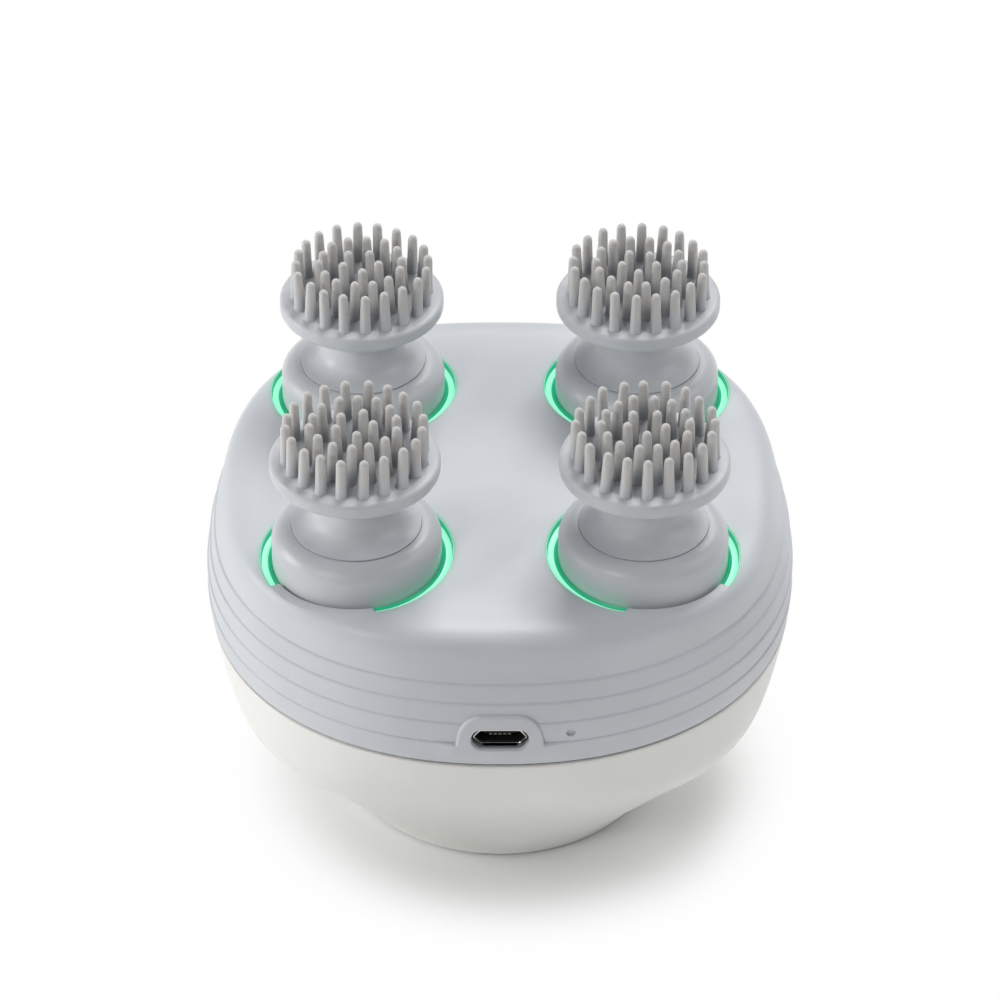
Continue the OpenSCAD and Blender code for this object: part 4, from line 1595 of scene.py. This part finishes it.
# Finish, and the CAD nodes that are shown as they are in it; a # stands for 1 to 4.
CARRIED_OVER: tuple[tuple[Finish, str], ...] = (
    (GASKET, "shell_gasket"),
    (RUBBER, "foot_ring shaft_seals"),
    (DARK_PLASTIC, "upper_plate lower_plate motor_endcap battery_cradle switch_plunger"),
    (BRONZE, "upper_bushes lower_bushes"),
    (STEEL, "gearbox_case output_shaft spindle_#"),
    (STEEL, "chassis_screws shell_screws base_screws gearbox_screws board_screws"),
    (NICKEL, "motor_can switch_body"),
    (CELL_WRAP, "battery_cell"),
    (BOARD, "control_board led_board charge_board switch_board"),
    (SOCKET_PLASTIC, "control_chips socket_tongue"),
    (WHITE_PLASTIC, "status_leds sun_gear planet_gear_# head_core_#"),
    (SMOKED, "indicator_pipe"),
    (RED_LEAD, "power_leads"),
    (GREY_LEAD, "signal_leads"),
    (POD_GREY, "power_button"),
)


def dress_cad_nodes(shop: Workshop, nodes: dict[str, bpy.types.Object]) -> None:
    """Gives every CAD node that stays its finish.

    Args:
        shop: builds the finishes.
        nodes: the CAD objects by name.
    """
    for look, written in CARRIED_OVER:
        for name in written.split():
            for each in dict.fromkeys(name.replace("#", str(i)) for i in range(1, 5)):
                materials = nodes[each].data.materials
                materials.clear()
                materials.append(shop.finish(look))
                log.info("%s: %s", each, look.name)


# ---------------------------------------------------------------- studio


@dataclass
class Studio:
    """Pale floor, soft lamps and the camera."""

    aim_z: float = 47.88
    elevation: float = 36.37
    distance: float = 678.5
    focal_px: float = 4713.2
    frame_px: float = 1000
    sensor: float = 36.0
    floor_half: float = 2500.0
    floor_z: float = -0.02
    # The painted shade round the foot is centred this far right of the middle, so that the floor stays darker
    # on the right.
    shadow_x: float = 3.0
    shadow_reach: Flat = (24.5, 54)  # distances over which the floor goes from shaded to white, the shade being partly the object's shadow and partly painted shade
    shadow_power: float = 2.1
    lamp_aim: float = 45.0
    lamps: tuple[tuple[str, Point, float, float], ...] = (  # name, place, side in mm, watts
        ("key_rear", (150, 500, 750), 400, 4.6),
        ("side_left", (-880, 40, 260), 450, 3.9),
        ("fill_right", (650, 0, 650), 500, 1.8),
        ("front_left", (-500, -600, 540), 220, 1.6),
    )

    def floor(self) -> None:
        """A white sweep that keeps the object's shadow, adds painted shade round the foot, and runs out to
        plain white.
        """
        s = Surface("paper_sweep_white")  # matt paper: no shine, so only the shadow shows on it
        s.set(Base_Color=linear("#F4F4F3"), Roughness=0.9, Specular_IOR_Level=0.1)
        tree = s.tree
        # Painted shade: near the foot the white glow seen by the camera is mixed in less, so the floor there
        # is only as bright as its lamps make it.
        settings = {"Scale": (1, 1, 0), "Location": (-self.shadow_x * MM, 0, 0)}
        flat = add_node(tree, "ShaderNodeMapping", settings, {0: s.place})
        reach = add_node(tree, "ShaderNodeVectorMath", {"operation": "LENGTH"}, {0: flat.outputs[0]})
        inner, outer = self.shadow_reach
        near = s.share((reach.outputs["Value"], inner * MM, outer * MM, 1, 0))
        dark = add_node(tree, "ShaderNodeMath", {"operation": "POWER", 1: self.shadow_power}, {0: near})
        ray = add_node(tree, "ShaderNodeLightPath").outputs
        links = {0: ray["Is Camera Ray"], 1: ray["Is Glossy Ray"]}
        seen = add_node(tree, "ShaderNodeMath", {"operation": "MAXIMUM"}, links)
        links = {0: s.share((dark.outputs[0], 0, 1, 1, 0)), 1: seen.outputs[0]}
        both = add_node(tree, "ShaderNodeMath", {"operation": "MULTIPLY"}, links)
        light = add_node(tree, "ShaderNodeEmission", {"Color": (1, 1, 1, 1), "Strength": 1.0})
        links = {0: both.outputs[0], 1: s.shader.outputs[0], 2: light.outputs[0]}
        mix = add_node(tree, "ShaderNodeMixShader", links=links)
        tree.links.new(mix.outputs[0], s.end.inputs[0])
        size, z = self.floor_half, self.floor_z
        draft = Draft()
        draft.points = [(-size, -size, z), (size, -size, z), (size, size, z), (-size, size, z)]
        draft.faces = [(0, 1, 2, 3)]
        sweep = new_object("studio_floor", draft.mesh("floor"))
        sweep.data.materials.append(s.material)

    def lamp(self, name: str, place: Point, size: float, power: float) -> None:
        """A square soft box that looks at the object's middle.

        Args:
            name: of the lamp.
            place: where it hangs, in mm.
            size: its side, in mm.
            power: in watts.
        """
        data = bpy.data.lights.new(name, "AREA")
        data.shape, data.size, data.energy = "SQUARE", size * MM, power
        lamp = bpy.data.objects.new(name, data)
        bpy.context.scene.collection.objects.link(lamp)
        lamp.location = Vector(place) * MM
        aim = Vector((0, 0, self.lamp_aim * MM)) - lamp.location
        lamp.rotation_euler = aim.to_track_quat("-Z", "Y").to_euler()

    def world(self) -> None:
        """Soft light from all round, and white where nothing is."""
        world = bpy.data.worlds.new("studio_white")
        bpy.context.scene.world = world
        world.use_nodes = True
        tree = world.node_tree
        tree.nodes.clear()
        ray = add_node(tree, "ShaderNodeLightPath").outputs["Is Camera Ray"]
        soft = add_node(tree, "ShaderNodeBackground", {"Color": linear("#F6F8FC"), "Strength": 0.24})
        plain = add_node(tree, "ShaderNodeBackground", {"Color": (1, 1, 1, 1), "Strength": 1.0})
        links = {0: ray, 1: soft.outputs[0], 2: plain.outputs[0]}
        mix = add_node(tree, "ShaderNodeMixShader", links=links)
        add_node(tree, "ShaderNodeOutputWorld", links={0: mix.outputs[0]})

    def camera(self) -> None:
        """The camera, in front and above."""
        data = bpy.data.cameras.new("camera")
        data.sensor_width = self.sensor
        data.lens = self.focal_px / self.frame_px * self.sensor
        data.clip_start, data.clip_end = 0.01, 20
        camera = bpy.data.objects.new("camera", data)
        bpy.context.scene.collection.objects.link(camera)
        tilt = math.radians(self.elevation)
        away, up = -self.distance * math.cos(tilt), self.aim_z + self.distance * math.sin(tilt)
        camera.location = (0, away * MM, up * MM)
        camera.rotation_euler = (math.pi / 2 - tilt, 0, 0)
        bpy.context.scene.camera = camera

    def build(self) -> None:
        """Sets the whole studio up."""
        self.floor()
        self.world()
        self.camera()
        for lamp in self.lamps:
            self.lamp(*lamp)
        bpy.context.scene.view_settings.view_transform = "Standard"
        log.info("studio ready")


HEAD_TURNS = (-4.0, 4.4, 8.4, 0.3)  # how far each head's bristles stand round, in degrees


def main() -> None:
    """Builds every sub-assembly in order and reports it."""
    logging.basicConfig(level=logging.INFO, format="%(name)s: %(message)s")
    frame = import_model()
    shop = Workshop()
    dress_cad_nodes(shop, frame["nodes"])
    shells = Shells(Form())
    shells.build_top(shop)
    shells.build_bowl(shop)
    shells.build_lights(shop)
    rule = bristle_ring()
    for i, turn in enumerate(HEAD_TURNS):
        head = PodHead(i + 1, shells.spindles[i], turn)
        head.build_pod(shop)
        head.build_head(shop, rule)
    Socket().build(shop)
    Studio().build()


if __name__ == "__main__":
    main()
